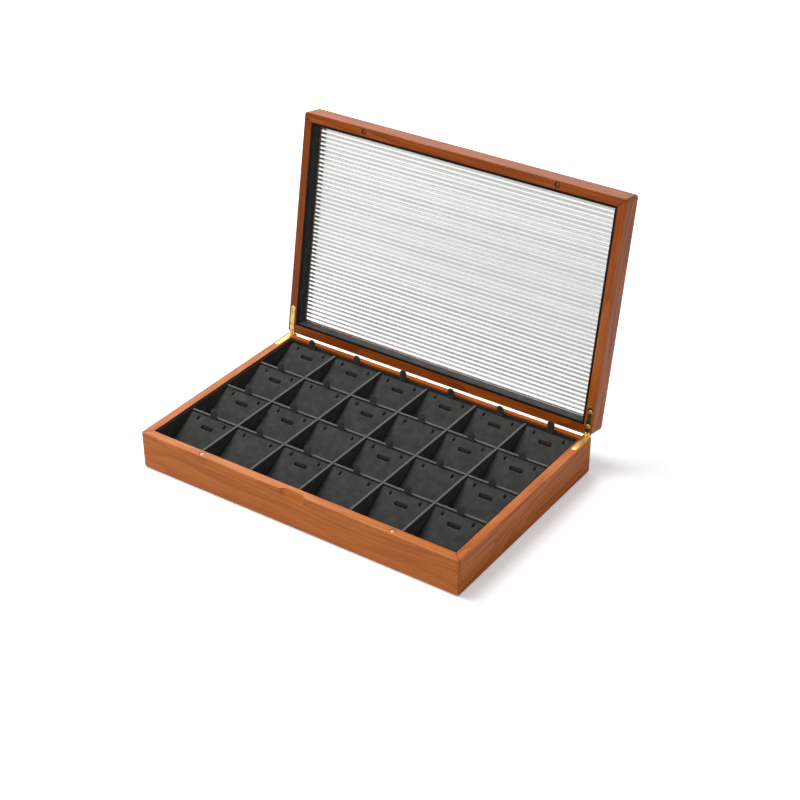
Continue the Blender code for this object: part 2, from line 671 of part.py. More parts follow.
def build_case():
    for obj in list(bpy.data.objects):
        bpy.data.objects.remove(obj)
    wood = principled("lacquered cherry", "B4683D", 0.4)
    fabric = principled("dark grey microfibre", "434345", 0.95)
    brass = principled("polished brass", "E3C069", 0.25, metallic=1.0)
    steel = principled("nickel-plated magnet", "C8C6C2", 0.25, metallic=1.0)
    clear = principled("clear reeded glass", "F2F5F5", 0.08, transmission=1.0)

    pivot = bpy.data.objects.new("lid_pivot", None)
    pivot.location = HINGE_AXIS
    bpy.context.scene.collection.objects.link(pivot)

    build_base_frame(wood)
    build_tray(fabric)
    build_partitions(fabric)
    build_pads(fabric)
    build_lid_frame(wood, pivot)
    build_window(clear, pivot)
    build_lid_lining(fabric, pivot)
    build_hinge("left", -HINGE_X, brass, pivot)
    build_hinge("right", HINGE_X, brass, pivot)
    build_magnets(steel, pivot)
    pivot.rotation_euler.x = -math.radians(LID_OPEN_DEGREES)


build_case()
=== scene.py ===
"""Looks of the wooden jewellery case: wood, covered boards, foam pads, reeded glass, brass and nickel.

Metres, +Z up, the front towards -Y. The lid's pieces are made shut and then turned open on the hinge axis.
"""

import math
import random
from functools import partial

import bmesh
import bpy
from mathutils import Matrix, Vector, noise
from mathutils.bvhtree import BVHTree
from mathutils.geometry import delaunay_2d_cdt


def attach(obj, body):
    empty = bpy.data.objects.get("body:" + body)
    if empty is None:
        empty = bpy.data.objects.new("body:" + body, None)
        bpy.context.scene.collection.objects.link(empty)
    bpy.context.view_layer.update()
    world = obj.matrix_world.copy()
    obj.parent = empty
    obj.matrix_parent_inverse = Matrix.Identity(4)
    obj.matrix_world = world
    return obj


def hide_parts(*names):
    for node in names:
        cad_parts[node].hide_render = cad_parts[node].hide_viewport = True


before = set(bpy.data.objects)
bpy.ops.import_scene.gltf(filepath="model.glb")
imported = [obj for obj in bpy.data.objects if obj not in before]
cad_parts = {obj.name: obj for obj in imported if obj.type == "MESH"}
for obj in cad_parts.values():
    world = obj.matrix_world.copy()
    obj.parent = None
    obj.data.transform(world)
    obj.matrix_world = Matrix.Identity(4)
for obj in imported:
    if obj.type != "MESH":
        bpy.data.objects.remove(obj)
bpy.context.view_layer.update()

MM = 0.001
WELD = 0.01 * MM  # points closer than this are one point

# The case, as the solids have it
HALF_WIDTH = 0.175
HALF_DEPTH = 0.114
BASE_HEIGHT = 0.0385
LID_BOTTOM = 0.0388
LID_TOP = 0.0618
RAIL_THICKNESS = 0.0087
CORNER_RADIUS = 0.003
ARRIS = 0.0008
EASED = 0.00035  # sandpapered edges of the rails
MITRE_GAP = 0.0003
FIT_GAP = 0.0003
LID_OPEN_DEGREES = 100.0
PANEL_THICKNESS = 0.0032
RABBET_WIDTH = 0.0035
OPENING_HALF_WIDTH = HALF_WIDTH - RAIL_THICKNESS
OPENING_HALF_DEPTH = HALF_DEPTH - RAIL_THICKNESS
NOTCH_LENGTH = 0.029
NOTCH_INNER_LENGTH = 0.021
NOTCH_DEPTH = 0.0038
NOTCH_HEIGHT = 0.011
NOTCH_BEND = 0.0026
BACK_CHAMFER = 0.0038

# How much deeper than the paler boards each rail took the stain, with painted shade and painted light mixed
# in
# painted shade deepens the lid's rails, and painted light makes the base's front and right rails paler
STAIN_AND_PAINTED_LIGHT = {
    "base": {"front": -0.18, "back": 0.03, "left": 0.03, "right": -0.08},
    "lid": {"front": 0.20, "back": 0.20, "left": 0.40, "right": 0.04},
}

# Lining tray and partitions
TRAY_BOTTOM = 0.0035
TRAY_FLOOR = 0.0018
TRAY_WALL = 0.0020
TRAY_TOP = 0.0367
TRAY_INNER_HALF_WIDTH = OPENING_HALF_WIDTH - FIT_GAP - TRAY_WALL
TRAY_INNER_HALF_DEPTH = OPENING_HALF_DEPTH - FIT_GAP - TRAY_WALL
CELLS_ACROSS = 6
CELLS_DEEP = 4
PARTITION_THICKNESS = 0.0024
PARTITION_TOP = 0.0364
SEAT_LEVEL = 0.0056
COVER_ROUNDING = 0.0005  # microfibre wrapped round a board's edge
CELL_WIDTH = (2 * TRAY_INNER_HALF_WIDTH - (CELLS_ACROSS - 1) * PARTITION_THICKNESS) / CELLS_ACROSS
CELL_DEPTH = (2 * TRAY_INNER_HALF_DEPTH - (CELLS_DEEP - 1) * PARTITION_THICKNESS) / CELLS_DEEP
PITCH_ACROSS = CELL_WIDTH + PARTITION_THICKNESS
PITCH_DEEP = CELL_DEPTH + PARTITION_THICKNESS

# Pads
PAD_HALF_WIDTH = CELL_WIDTH / 2 - 0.0004
PAD_HALF_DEPTH = CELL_DEPTH / 2 - 0.0004
PAD_FRONT_HEIGHT = 0.0027
PAD_BACK_HEIGHT = 0.0292
PAD_CORNER = 0.0018
PAD_ROUNDING = 0.0008
PAD_SWELL = 0.0007
CROWN_REACH = 6 * MM  # the swell fades out over this width along a pad's edges
WRINKLE_HEIGHT = 0.10 * MM
WRINKLE_LENGTH = 14 * MM
DENT_DEPTH = 0.25 * MM  # the cover's sag round an opening
DENT_REACH = 1.6 * MM
RING_GAP = 0.9 * MM
SHARPEST_CORNER = 0.05 * MM
SLOT_HALF = Vector((0.0070, 0.00175))
SLOT_PLACE = Vector((0, PAD_HALF_DEPTH - 0.0103))
SLOT_DEPTH = 0.007
SLOT_LIP = 0.0004
FLAP_DEPTH = 0.0012  # how far the flap's free edge is pressed in
SLIT_HALF = Vector((0.00095, 0.0019))
SLIT_PLACE = Vector((PAD_HALF_WIDTH - 0.0103, PAD_HALF_DEPTH - 0.0036))
SLIT_DEPTH = 0.0026
SLIT_CORNER = 0.0005
SLIT_LIP = 0.0009
TAB_WIDTH = 0.0075
TAB_THICKNESS = 0.0006
TAB_FROM_BACK = 0.0001
TAB_RISE = 0.0101
TAB_RISE_BACK_ROW = 0.011
TAB_ROOT = 0.004
TAB_HEM = 0.00025
LONG_TABS = {(1, 3): 0.0020, (1, 6): 0.0030}  # cut longer than their neighbours
PLAIN_PADS = ((2, 2), (2, 4), (3, 3), (3, 5), (4, 2), (4, 4))

# Lid window and lining
WINDOW_TOP = 0.0552
WINDOW_THICKNESS = 0.0024
RIB_PITCH = 0.00425
RIB_HEIGHT = 0.0009
RIB_STEPS = 14
RIB_FULLNESS = 0.7  # 1 is a sine's half wave, and less is rounder
RIB_ROOT = WINDOW_TOP - WINDOW_THICKNESS
RIB_TIPS = RIB_ROOT - RIB_HEIGHT
PANE_SEAT_WIDTH = 0.0048
LINING_THICKNESS = 0.0023
LINING_SETBACK = 0.0004

# Hinges, screws and catch magnets
HINGE_AXIS = Vector((0, 0.1132, 0.041))
HINGE_XS = (RAIL_THICKNESS / 2 - HALF_WIDTH, HALF_WIDTH - RAIL_THICKNESS / 2)
LEAF_WIDTH = 0.005
LEAF_LENGTH = 0.0285
LEAF_THICKNESS = 0.0011
LEAF_OVERLAP = 0.0004
LEAF_EASED = 0.00012
BARREL_RADIUS = 0.0019
PIN_RADIUS = 0.00075
PIN_HEAD_RADIUS = 0.0012
PIN_HEAD_RISE = 0.0003
PIN_HEAD_GAP = 0.05 * MM
LID_KNUCKLE_WIDTH = 0.0014
KNUCKLE_GAP = 0.0003
KNUCKLE_CLEARANCE = 0.0004
KNUCKLE_FOOT_REACH = 0.0012
SCREW_INSETS = (0.0088, 0.0233)
SCREW_HEAD_RADIUS = 0.0016
LID_SCREW_HEAD_RADIUS = 0.0020
SCREW_SHANK_RADIUS = 0.0008
SCREW_LENGTH = 0.006
SCREW_SLOT = 0.0005
SCREW_SINK = 0.0004
SINK_MARGIN = 0.0002
MAGNET_RADIUS = 0.0025
MAGNET_THICKNESS = 0.002
MAGNET_XS = (-0.105, 0.105)
MAGNET_Y = RAIL_THICKNESS / 2 - HALF_DEPTH

NEAR_GLOW = 0.41  # the paper's glow near the case

OVERRUN = 0.004
CIRCLE_SIDES = 32
CORNER_SIGNS = ((-1, -1), (1, -1), (1, 1), (-1, 1))
LID_OPENED = (
    Matrix.Translation(HINGE_AXIS)
    @ Matrix.Rotation(-math.radians(LID_OPEN_DEGREES), 4, "X")
    @ Matrix.Translation(-HINGE_AXIS)
)


# Nodes and colours


def linear(hex_colour):
    """The scene-linear RGBA of an sRGB colour such as 'A8643A'."""
    shares = [int(hex_colour[i : i + 2], 16) / 255 for i in (0, 2, 4)]
    return (*[s / 12.92 if s <= 0.04045 else ((s + 0.055) / 1.055) ** 2.4 for s in shares], 1)


def add(tree, kind, inputs=(), **settings):
    """A node in a tree; a kind without its prefix is a shader node, and a kind may end in its operation.

    Inputs are a list from the first socket on, or a dictionary by a socket's name or number. Each is a value,
    the socket that feeds it, or a node whose first output does.
    """
    kind, _, operation = kind.partition(" ")
    node = tree.nodes.new(kind if "Node" in kind else f"ShaderNode{kind}")
    if operation:
        node.operation = operation
    for name, value in settings.items():
        setattr(node, name, value)
    for key, value in inputs.items() if isinstance(inputs, dict) else enumerate(inputs):
        source = value.outputs[0] if isinstance(value, bpy.types.Node) else value
        if isinstance(source, bpy.types.NodeSocket):
            tree.links.new(source, node.inputs[key])
        else:
            node.inputs[key].default_value = source
    return node


def set_stops(ramp, *stops):
    """Gives a colour ramp its stops, each a place and an sRGB hex colour."""
    elements = ramp.color_ramp.elements
    while len(elements) < len(stops):
        elements.new(0.5)
    for element, (place, hex_colour) in zip(elements, stops):
        element.position, element.color = place, linear(hex_colour)
    return ramp


def blank_material(name):
    material = bpy.data.materials.new(name)
    material.use_nodes = True
    material.node_tree.nodes.clear()
    return material, partial(add, material.node_tree)


def surfaced(material, shader):
    add(material.node_tree, "OutputMaterial", {"Surface": shader})
    return material


def lacquered_cherry():
    """Cherry with an orange-brown stain under satin lacquer.

    Long straight streaks of nearly one tone, faint growth lines, fine dark pores and a soft even sheen.
    """
    material, node = blank_material("satin-lacquered cherry")
    board = node("Attribute", attribute_name="board").outputs["Vector"]
    patterns = (
        # a slow field over 300 mm of length and 30 mm of width, from which the growth lines are cut
        ((0.300, 0.030, 0.030), {"Detail": 1.5, "Roughness": 0.4, "Distortion": 0.1}),
        # fibres: streaks 1.1 mm wide and 60 mm long
        ((0.060, 0.0011, 0.0011), {"Detail": 3.0, "Roughness": 0.6}),
        # pores: 0.1 mm across in the tree, drawn 0.4 mm across and 5 mm long so that they show
        ((0.005, 0.0004, 0.0004), {"Detail": 1.0}),
        # uneven stain: clouds 110 mm long and 16 mm wide
        ((0.110, 0.016, 0.016), {"Detail": 2.0}),
    )
    noises = []
    for sizes, look in patterns:
        drawn_out = node("Mapping", {"Vector": board, "Scale": [1 / size for size in sizes]})
        noises.append(node("TexNoise", {"Vector": drawn_out, "Scale": 1.0, **look}))
    field, fibre, speckle, cloud = noises
    counted = node("Math MULTIPLY", [field, 12.0])
    ring = node("Math FRACT", [counted])
    late = node("MapRange", [ring, 0.15, 0.95], interpolation_type="SMOOTHSTEP")
    lines = node("Math MULTIPLY", [late, 0.18])
    streaks = node("Math MULTIPLY_ADD", [fibre, 0.90, lines])
    pore = node("MapRange", [speckle, 0.60, 0.74])
    figure = node("Math MULTIPLY_ADD", [cloud, 0.16, streaks])
    # each rail's stain, with painted shade and painted light mixed in
    stain_and_light = node("Attribute", attribute_name="stain").outputs["Fac"]
    depth = node("Math ADD", [figure, stain_and_light])
    ramp = node("ValToRGB", [depth])
    stained = set_stops(ramp, (0.32, "CF762E"), (0.52, "C06622"), (0.72, "AA5418"), (0.92, "8C410E"))
    shading = node("Math MULTIPLY", [pore, 0.30])
    # the colour sockets of a Mix node are its seventh and eighth
    dark = node("Mix", {0: shading, 6: stained, 7: linear("7C3A16")}, data_type="RGBA")
    rough = node("MapRange", [fibre, 0.25, 0.75, 0.38, 0.50])
    height = node("Math MULTIPLY_ADD", [pore, -0.8, fibre])
    bump = node("Bump", {"Height": height, "Strength": 0.3, "Distance": 0.06 * MM})
    lacquer = {"IOR": 1.5, "Specular IOR Level": 0.05, "Coat Weight": 0.4, "Coat Roughness": 0.14}
    wood = {"Base Color": dark.outputs[2], "Roughness": rough, "Normal": bump, **lacquer}
    return surfaced(material, node("BsdfPrincipled", wood))


def microfibre(name, shades, nap_mm, highlight_from=None):
    """Brushed polyester microfibre, a suede look-alike.

    Dull, deep grey, clouded where the nap was stroked the other way, with a faint bloom at glancing angles.
    Above the height given as the last argument the grey is painted paler: a painted highlight along a
    partition's upper edge.
    """
    material, node = blank_material(name)
    place = node("TexCoord").outputs["Object"]
    # fibres of 0.02 mm, drawn as tufts of 0.5 mm so that they show
    tufts = node("TexNoise", {"Vector": place, "Scale": 1 / (0.5 * MM), "Detail": 2.0, "Roughness": 0.7})
    stroked = node("TexNoise", {"Vector": place, "Scale": 1 / (nap_mm * MM), "Detail": 2.0})
    weighed = node("Math MULTIPLY", [stroked, 0.62])
    mixed = node("Math MULTIPLY_ADD", [tufts, 0.38, weighed])
    colour = set_stops(node("ValToRGB", [mixed]), *zip((0.34, 0.50, 0.66), shades)).outputs[0]
    # painted highlight: paler grey above the given height, where light catches a partition's top
    if highlight_from is not None:
        level = node("SeparateXYZ", [place]).outputs["Z"]
        crest_lit = node("MapRange", [level, highlight_from, highlight_from + 0.3 * MM])
        crest_highlight = node("Mix", {0: crest_lit, 6: colour, 7: linear("656564")}, data_type="RGBA")
        colour = crest_highlight.outputs[2]
    rough = node("MapRange", [tufts, 0.2, 0.8, 0.86, 1.0])
    bump = node("Bump", {"Height": tufts, "Strength": 0.6, "Distance": 0.15 * MM})
    bloom = {"Sheen Weight": 0.15, "Sheen Roughness": 0.45, "Sheen Tint": linear("BABAB8")}
    cloth = {"Base Color": colour, "Roughness": rough, "Normal": bump, "Specular IOR Level": 0.2, **bloom}
    return surfaced(material, node("BsdfPrincipled", cloth))


def plated_metal(name, shades, roughness, line_mm):
    """A small polished metal fitting.

    Bright with a warm or cool tint, hairlines from polishing and a slightly duller cast where it is handled.
    """
    material, node = blank_material(name)
    place = node("TexCoord").outputs["Object"]
    drawn_out = [1 / (size * MM) for size in (line_mm, 12, line_mm)]
    fine = node("Mapping", {"Vector": place, "Scale": drawn_out})
    hairlines = node("TexNoise", {"Vector": fine, "Scale": 1.0, "Detail": 2.0})
    cast = node("TexNoise", {"Vector": place, "Scale": 1 / (4 * MM), "Detail": 2.0})
    colour = set_stops(node("ValToRGB", [cast]), (0.30, shades[0]), (0.70, shades[1]))
    rough = node("MapRange", [cast, 0.3, 0.7, roughness, roughness + 0.06])
    bump = node("Bump", {"Height": hairlines, "Strength": 0.10, "Distance": 0.02 * MM})
    metal = {"Base Color": colour, "Metallic": 1.0, "Roughness": rough, "Normal": bump}
    return surfaced(material, node("BsdfPrincipled", metal))


def reeded_glass():
    """Clear soda-lime glass rolled with ribs, flat outside.

    White bands with a painted grey line along each valley, painted shade for what the ribs refract: thin and
    dark near the hinges, broad and pale towards the lid's front, where the white is painted greyer too. For a
    few millimetres beside the left lining the lines are painted nearly black, the dark lining as the ribs
    refract it.
    """
    material, node = blank_material("clear reeded glass")
    place = node("TexCoord").outputs["Object"]
    rib = node("Attribute", attribute_name="rib").outputs["Vector"]
    from_valley, to_front, inner_side = node("SeparateXYZ", [rib]).outputs

    # the painted shade line: half its width as a share of the pitch, and its tone from the hinges to the
    # lid's front
    half_width = node("MapRange", [to_front, 0, 0.6, 0.22, 0.41])
    past = node("Math SUBTRACT", [from_valley, half_width])
    line = node("MapRange", [past, 0.05, -0.10, 0, 1], interpolation_type="SMOOTHSTEP")
    tone = node("ValToRGB", [to_front])
    grey = set_stops(tone, (0.0, "1B1B1A"), (0.18, "363635"), (0.5, "828281"), (1.0, "90908E"))
    # painted shade in the white too: paler near the hinges, greyer towards the lid's front
    white_ramp = node("ValToRGB", [to_front])
    white = set_stops(white_ramp, (0.0, "F2F2F0"), (0.5, "DDDDDB"), (1.0, "D7D7D4"))
    # fine uneven spots, 1.2 mm
    spots = node("TexNoise", {"Vector": place, "Scale": 1 / (1.2 * MM), "Detail": 1.0})
    faded = node("MapRange", [spots, 0.35, 0.65, 0.86, 1])
    share = node("Math MULTIPLY", [line, faded])
    drawn = node("Math MULTIPLY", [share, inner_side])
    banded = node("Mix", {0: drawn, 6: white, 7: grey}, data_type="RGBA").outputs[2]

    # painted shade: the dark line ends, 6.5 mm long, and a dark strip of 1.5 mm beside the lining, the dark
    # lining as the ribs refract it
    across = node("SeparateXYZ", [place]).outputs["X"]
    start = -(OPENING_HALF_WIDTH - FIT_GAP - LINING_THICKNESS)
    near_end = node("MapRange", [across, start + 5.5 * MM, start + 8 * MM, 1, 0])
    strip = node("MapRange", [across, start + 1 * MM, start + 2 * MM, 1, 0])
    valley = node("MapRange", [from_valley, 0.30, 0.16, 0, 1], interpolation_type="SMOOTHSTEP")
    darkened = node("Math MAXIMUM", [valley, strip])
    tooth = node("Math MULTIPLY", [near_end, darkened])
    toothed = node("Math MULTIPLY", [tooth, inner_side])
    colour = node("Mix", {0: toothed, 6: banded, 7: linear("0F0907")}, data_type="RGBA").outputs[2]

    # slow waves left by the roller, 30 mm long
    waves = node("TexNoise", {"Vector": place, "Scale": 1 / (30 * MM), "Detail": 1.0})
    haze = node("MapRange", [waves, 0.3, 0.7, 0.015, 0.05])
    bump = node("Bump", {"Height": waves, "Strength": 0.3, "Distance": 0.2 * MM})
    sheet = {"Base Color": colour, "Roughness": haze, "Normal": bump, "IOR": 1.5, "Transmission Weight": 1.0}
    glass = node("BsdfPrincipled", sheet)
    clear = node("BsdfTransparent", {"Color": linear("F2F5F4")})
    shadow = node("LightPath").outputs["Is Shadow Ray"]
    return surfaced(material, node("MixShader", [shadow, glass, clear]))


# Mesh helpers


def box(low, high, bm=None):
    bm = bm or bmesh.new()
    low, high = Vector(low), Vector(high)
    place = Matrix.Translation((low + high) / 2) @ Matrix.Diagonal((*(high - low), 1))
    bmesh.ops.create_cube(bm, size=1, matrix=place)
    return bm


def centred_box(half_width, half_depth, bottom, top):
    return box((-half_width, -half_depth, bottom), (half_width, half_depth, top))


def prism(outline, low, high, axis, bm=None):
    """A flat outline drawn out from low to high along an axis; its two coordinates are the other axes."""
    bm = bm or bmesh.new()
    index = "XYZ".index(axis)
    rings = []
    for level in (low, high):
        corners = [(*point[:index], level, *point[index:]) for point in outline]
        rings.append([bm.verts.new(corner) for corner in corners])
    bm.faces.new(rings[0])
    bm.faces.new(reversed(rings[1]))
    for i, (a, b) in enumerate(zip(*rings)):
        bm.faces.new((rings[0][i - 1], a, b, rings[1][i - 1]))
    return bm


def hexahedron(bottom, top):
    bm = bmesh.new()
    lower, upper = [[bm.verts.new(corner) for corner in ring] for ring in (bottom, top)]
    bm.faces.new(reversed(lower))
    bm.faces.new(upper)
    for i in range(4):
        bm.faces.new((lower[i - 1], lower[i], upper[i], upper[i - 1]))
    return bm


def arc(centre, radius, start_degrees, end_degrees, steps):
    turn = end_degrees - start_degrees
    angles = [math.radians(start_degrees + turn * i / steps) for i in range(steps + 1)]
    return [(centre[0] + radius * math.cos(a), centre[1] + radius * math.sin(a)) for a in angles]


def circle(centre, radius):
    return arc(centre, radius, 0, 360, CIRCLE_SIDES)[:-1]


def turned(profile, sides):
    """A closed solid turned about Z from (radius, height) pairs, from the top's middle to the bottom's."""
    bm = bmesh.new()
    loops = []
    for radius, height in profile[1:-1]:
        angles = [math.tau * i / sides for i in range(sides)]
        loops.append([bm.verts.new((radius * math.cos(a), radius * math.sin(a), height)) for a in angles])
    top, bottom = bm.verts.new((0, 0, profile[0][1])), bm.verts.new((0, 0, profile[-1][1]))
    for i in range(sides):
        bm.faces.new((top, loops[0][i - 1], loops[0][i]))
        bm.faces.new((bottom, loops[-1][i], loops[-1][i - 1]))
        for upper, lower in zip(loops, loops[1:]):
            bm.faces.new((upper[i - 1], upper[i], lower[i], lower[i - 1]))
    return bm


def round_edges(bm, chosen, width, segments):
    edges = [edge for edge in bm.edges if chosen(*edge.verts)]
    bmesh.ops.bevel(bm, geom=edges, offset=width, segments=segments, profile=0.5, affect="EDGES")


def placed(name, data, place=(0, 0, 0), turn=(0, 0, 0)):
    thing = bpy.data.objects.new(name, data)
    thing.location, thing.rotation_euler = place, turn
    bpy.context.scene.collection.objects.link(thing)
    return thing


def new_piece(name, bm, material=None):
    bmesh.ops.recalc_face_normals(bm, faces=bm.faces)
    mesh = bpy.data.meshes.new(name)
    bm.to_mesh(mesh)
    bm.free()
    piece = placed(name, mesh)
    if material:
        mesh.materials.append(material)
    return piece


def cut(piece, *cutters, operation="DIFFERENCE"):
    for cutter in cutters:
        modifier = piece.modifiers.new(cutter.name, "BOOLEAN")
        modifier.object, modifier.operation, modifier.solver = cutter, operation, "EXACT"
        cutter.hide_render = cutter.hide_viewport = True


def make_plain(piece):
    """Makes the modifiers part of the mesh."""
    graph = bpy.context.evaluated_depsgraph_get()
    mesh = bpy.data.meshes.new_from_object(piece.evaluated_get(graph))
    mesh.name = piece.name
    piece.modifiers.clear()
    piece.data = mesh
    return piece


def settle(piece, eased=0, segments=2):
    """Eases the edges, smooths the piece with its flat faces kept flat, and makes it a plain mesh."""
    if eased:
        bevel = piece.modifiers.new("eased edges", "BEVEL")
        bevel.width, bevel.segments = eased, segments
        bevel.limit_method, bevel.angle_limit = "ANGLE", math.radians(30)
        bevel.miter_outer = "MITER_ARC"
    piece.data.shade_smooth()
    weighted = piece.modifiers.new("flat faces flat", "WEIGHTED_NORMAL")
    weighted.keep_sharp, weighted.weight = True, 100
    return make_plain(piece)


def hand_over(piece, body, slot, *nodes):
    """The piece, opened with the lid if it is the lid's, rides on a body and stands for these nodes."""
    if body == "lid":
        piece.data.transform(LID_OPENED)
    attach(piece, body)
    if nodes:
        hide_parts(*nodes)


def remove(*pieces):
    for piece in pieces:
        bpy.data.objects.remove(piece)


# Wooden rails


def rounded_envelope(bottom, top, mating_level):
    """The whole frame's outer shape: rounded corners and outer edge, an eased edge at the mating face."""

    def mating(*ends):
        return all(abs(end.co.z - mating_level) < ARRIS / 10 for end in ends)

    bm = centred_box(HALF_WIDTH, HALF_DEPTH, bottom, top)
    round_edges(bm, lambda *ends: not mating(*ends), CORNER_RADIUS, 8)
    round_edges(bm, mating, ARRIS, 4)
    return bm


def mitred_rail(side, bottom, top):
    along, across = (HALF_WIDTH, HALF_DEPTH) if side in ("front", "back") else (HALF_DEPTH, HALF_WIDTH)
    shift = MITRE_GAP / math.sqrt(2)
    outline = [
        (-along - OVERRUN + shift, -across - OVERRUN),
        (along + OVERRUN - shift, -across - OVERRUN),
        (along - RAIL_THICKNESS - shift, -across + RAIL_THICKNESS),
        (-along + RAIL_THICKNESS + shift, -across + RAIL_THICKNESS),
    ]
    bm = prism(outline, bottom - OVERRUN, top + OVERRUN, "Z")
    quarters = ("front", "right", "back", "left").index(side)
    bm.transform(Matrix.Rotation(quarters * math.pi / 2, 4, "Z"))
    return bm


def lay_grain(piece, side, shift, stain):
    """Gives each point its place along the grain, up the face and into it, and its board's stain with painted
    shade and painted light mixed in.
    """
    along, inward = (0, 1) if side in ("front", "back") else (1, 0)
    spots = [(v.co[along], v.co.z, v.co[inward]) for v in piece.data.vertices]
    board = piece.data.attributes.new("board", "FLOAT_VECTOR", "POINT")
    board.data.foreach_set("vector", [c + s for spot in spots for c, s in zip(spot, shift)])
    depth = piece.data.attributes.new("stain", "FLOAT", "POINT")
    depth.data.foreach_set("value", [stain] * len(spots))


def leaf_outline(x, margin, back):
    radius = LEAF_WIDTH / 2 + margin
    end = HALF_DEPTH - LEAF_LENGTH + LEAF_WIDTH / 2
    return [(x + radius, back), (x - radius, back), *arc((x, end), radius, 180, 360, 16)]


def pockets(name, outlines, bottom, top):
    """One cutter for level pockets of these outlines."""
    bm = bmesh.new()
    for outline in outlines:
        prism(outline, bottom, top, "Z", bm)
    return new_piece(name, bm)


def fitting_pockets(face, inward):
    """Cutters for the hinge leaves and the magnets, from a mating face down (-1) or up (1) into the rails."""
    leaves = [leaf_outline(x, FIT_GAP, HALF_DEPTH + OVERRUN) for x in HINGE_XS]
    discs = [circle((x, MAGNET_Y), MAGNET_RADIUS + FIT_GAP) for x in MAGNET_XS]
    cutters = []
    for name, outlines, depth in (("leaves", leaves, LEAF_THICKNESS), ("discs", discs, MAGNET_THICKNESS)):
        ends = face - inward * OVERRUN, face + inward * depth + inward * FIT_GAP
        cutters.append(pockets(name, outlines, min(ends), max(ends)))
    return cutters


def thumb_notch():
    """The cutter of the notch, whose ends lean outwards and run into its floor in a curve."""
    fall = NOTCH_HEIGHT / NOTCH_DEPTH
    taper = (NOTCH_LENGTH - NOTCH_INNER_LENGTH) / 2 / NOTCH_DEPTH
    inner_half, outer_half = NOTCH_INNER_LENGTH / 2, NOTCH_LENGTH / 2 + OVERRUN * taper
    outer_y, inner_y = -HALF_DEPTH - OVERRUN, -HALF_DEPTH + NOTCH_DEPTH
    outer_z = BASE_HEIGHT - NOTCH_HEIGHT - OVERRUN * fall
    top, widening = BASE_HEIGHT + OVERRUN, OVERRUN * taper / fall

    def ring(outer, inner, outer_level, inner_level):
        outside = [(x, outer_y, outer_level) for x in (-outer, outer)]
        return outside + [(x, inner_y, inner_level) for x in (inner, -inner)]

    bm = hexahedron(
        ring(inner_half, inner_half, outer_z, BASE_HEIGHT),
        ring(outer_half + widening, inner_half + widening, top, top),
    )
    round_edges(bm, lambda a, b: max(a.co.z, b.co.z) < top - MM and a.co.x == b.co.x, NOTCH_BEND, 6)
    return new_piece("thumb_notch", bm)


def back_chamfer():
    """The slope along the back rail's outer top edge, between the hinges, that clears the open lid."""
    back, rim = HALF_DEPTH + OVERRUN, BASE_HEIGHT + OVERRUN
    reach = BACK_CHAMFER + 2 * OVERRUN
    outline = [(back, rim - reach), (back, rim), (back - reach, rim)]
    return new_piece("back_chamfer", prism(outline, -OPENING_HALF_WIDTH, OPENING_HALF_WIDTH, "X"))


def dress_rails(part, bottom, top, mating_level, cutters, wood):
    """The four rails of the base or of the lid, each from its own board."""
    envelope = new_piece(f"{part}_envelope", rounded_envelope(bottom, top, mating_level))
    pick = random.Random(f"boards of the {part}")
    for side in ("front", "back", "left", "right"):
        rail = new_piece(f"{part}_rail_{side}", mitred_rail(side, bottom, top), wood)
        cut(rail, envelope, operation="INTERSECT")
        cut(rail, *cutters[side])
        settle(rail, EASED)
        lay_grain(rail, side, [pick.uniform(0, 3) for _ in range(3)], STAIN_AND_PAINTED_LIGHT[part][side])
        hand_over(rail, part, "wood", f"{part}_{side}_rail")
    remove(envelope, *set().union(*cutters.values()))


def dress_base_frame(wood):
    leaves, magnets = fitting_pockets(BASE_HEIGHT, -1)
    half_sizes = OPENING_HALF_WIDTH + RABBET_WIDTH, OPENING_HALF_DEPTH + RABBET_WIDTH
    rabbet = new_piece("rabbet", centred_box(*half_sizes, -OVERRUN, PANEL_THICKNESS + FIT_GAP))
    cutters = {
        "front": (rabbet, magnets, thumb_notch()),
        "back": (rabbet, leaves, back_chamfer()),
        "left": (rabbet, leaves),
        "right": (rabbet, leaves),
    }
    dress_rails("base", 0, BASE_HEIGHT, BASE_HEIGHT, cutters, wood)

    bm = centred_box(*(half - FIT_GAP for half in half_sizes), 0, PANEL_THICKNESS)
    panel = settle(new_piece("bottom_panel", bm, wood), EASED)
    lay_grain(panel, "front", (7.0, 5.0, 0.0), 0.0)
    hand_over(panel, "base", "wood", "base_bottom_panel")


def dress_lid_frame(wood):
    leaves, magnets = fitting_pockets(LID_BOTTOM, 1)
    half_sizes = OPENING_HALF_WIDTH + PANE_SEAT_WIDTH, OPENING_HALF_DEPTH + PANE_SEAT_WIDTH
    seat = new_piece("pane_seat", centred_box(*half_sizes, RIB_TIPS - FIT_GAP, LID_TOP + OVERRUN))
    reach = BARREL_RADIUS + KNUCKLE_CLEARANCE
    half = LEAF_WIDTH / 2 + FIT_GAP
    bm = bmesh.new()
    for x in HINGE_XS:
        low = (x - half, HINGE_AXIS.y - reach, LID_BOTTOM - OVERRUN)
        box(low, (x + half, HALF_DEPTH + OVERRUN, HINGE_AXIS.z + reach), bm)
    knuckles = new_piece("knuckle_notches", bm)
    cutters = {"front": (seat, magnets), **dict.fromkeys(("back", "left", "right"), (seat, leaves, knuckles))}
    dress_rails("lid", LID_BOTTOM, LID_TOP, LID_BOTTOM, cutters, wood)


# Covered boards


def paint_edge_shade(board, edge_shade_cloth, chosen):
    """Painted shade on the cloth's edge: the faces whose level is chosen take the darker cloth."""
    board.data.materials.append(edge_shade_cloth)
    for polygon in board.data.polygons:
        if chosen(polygon.center.z):
            polygon.material_index = 1


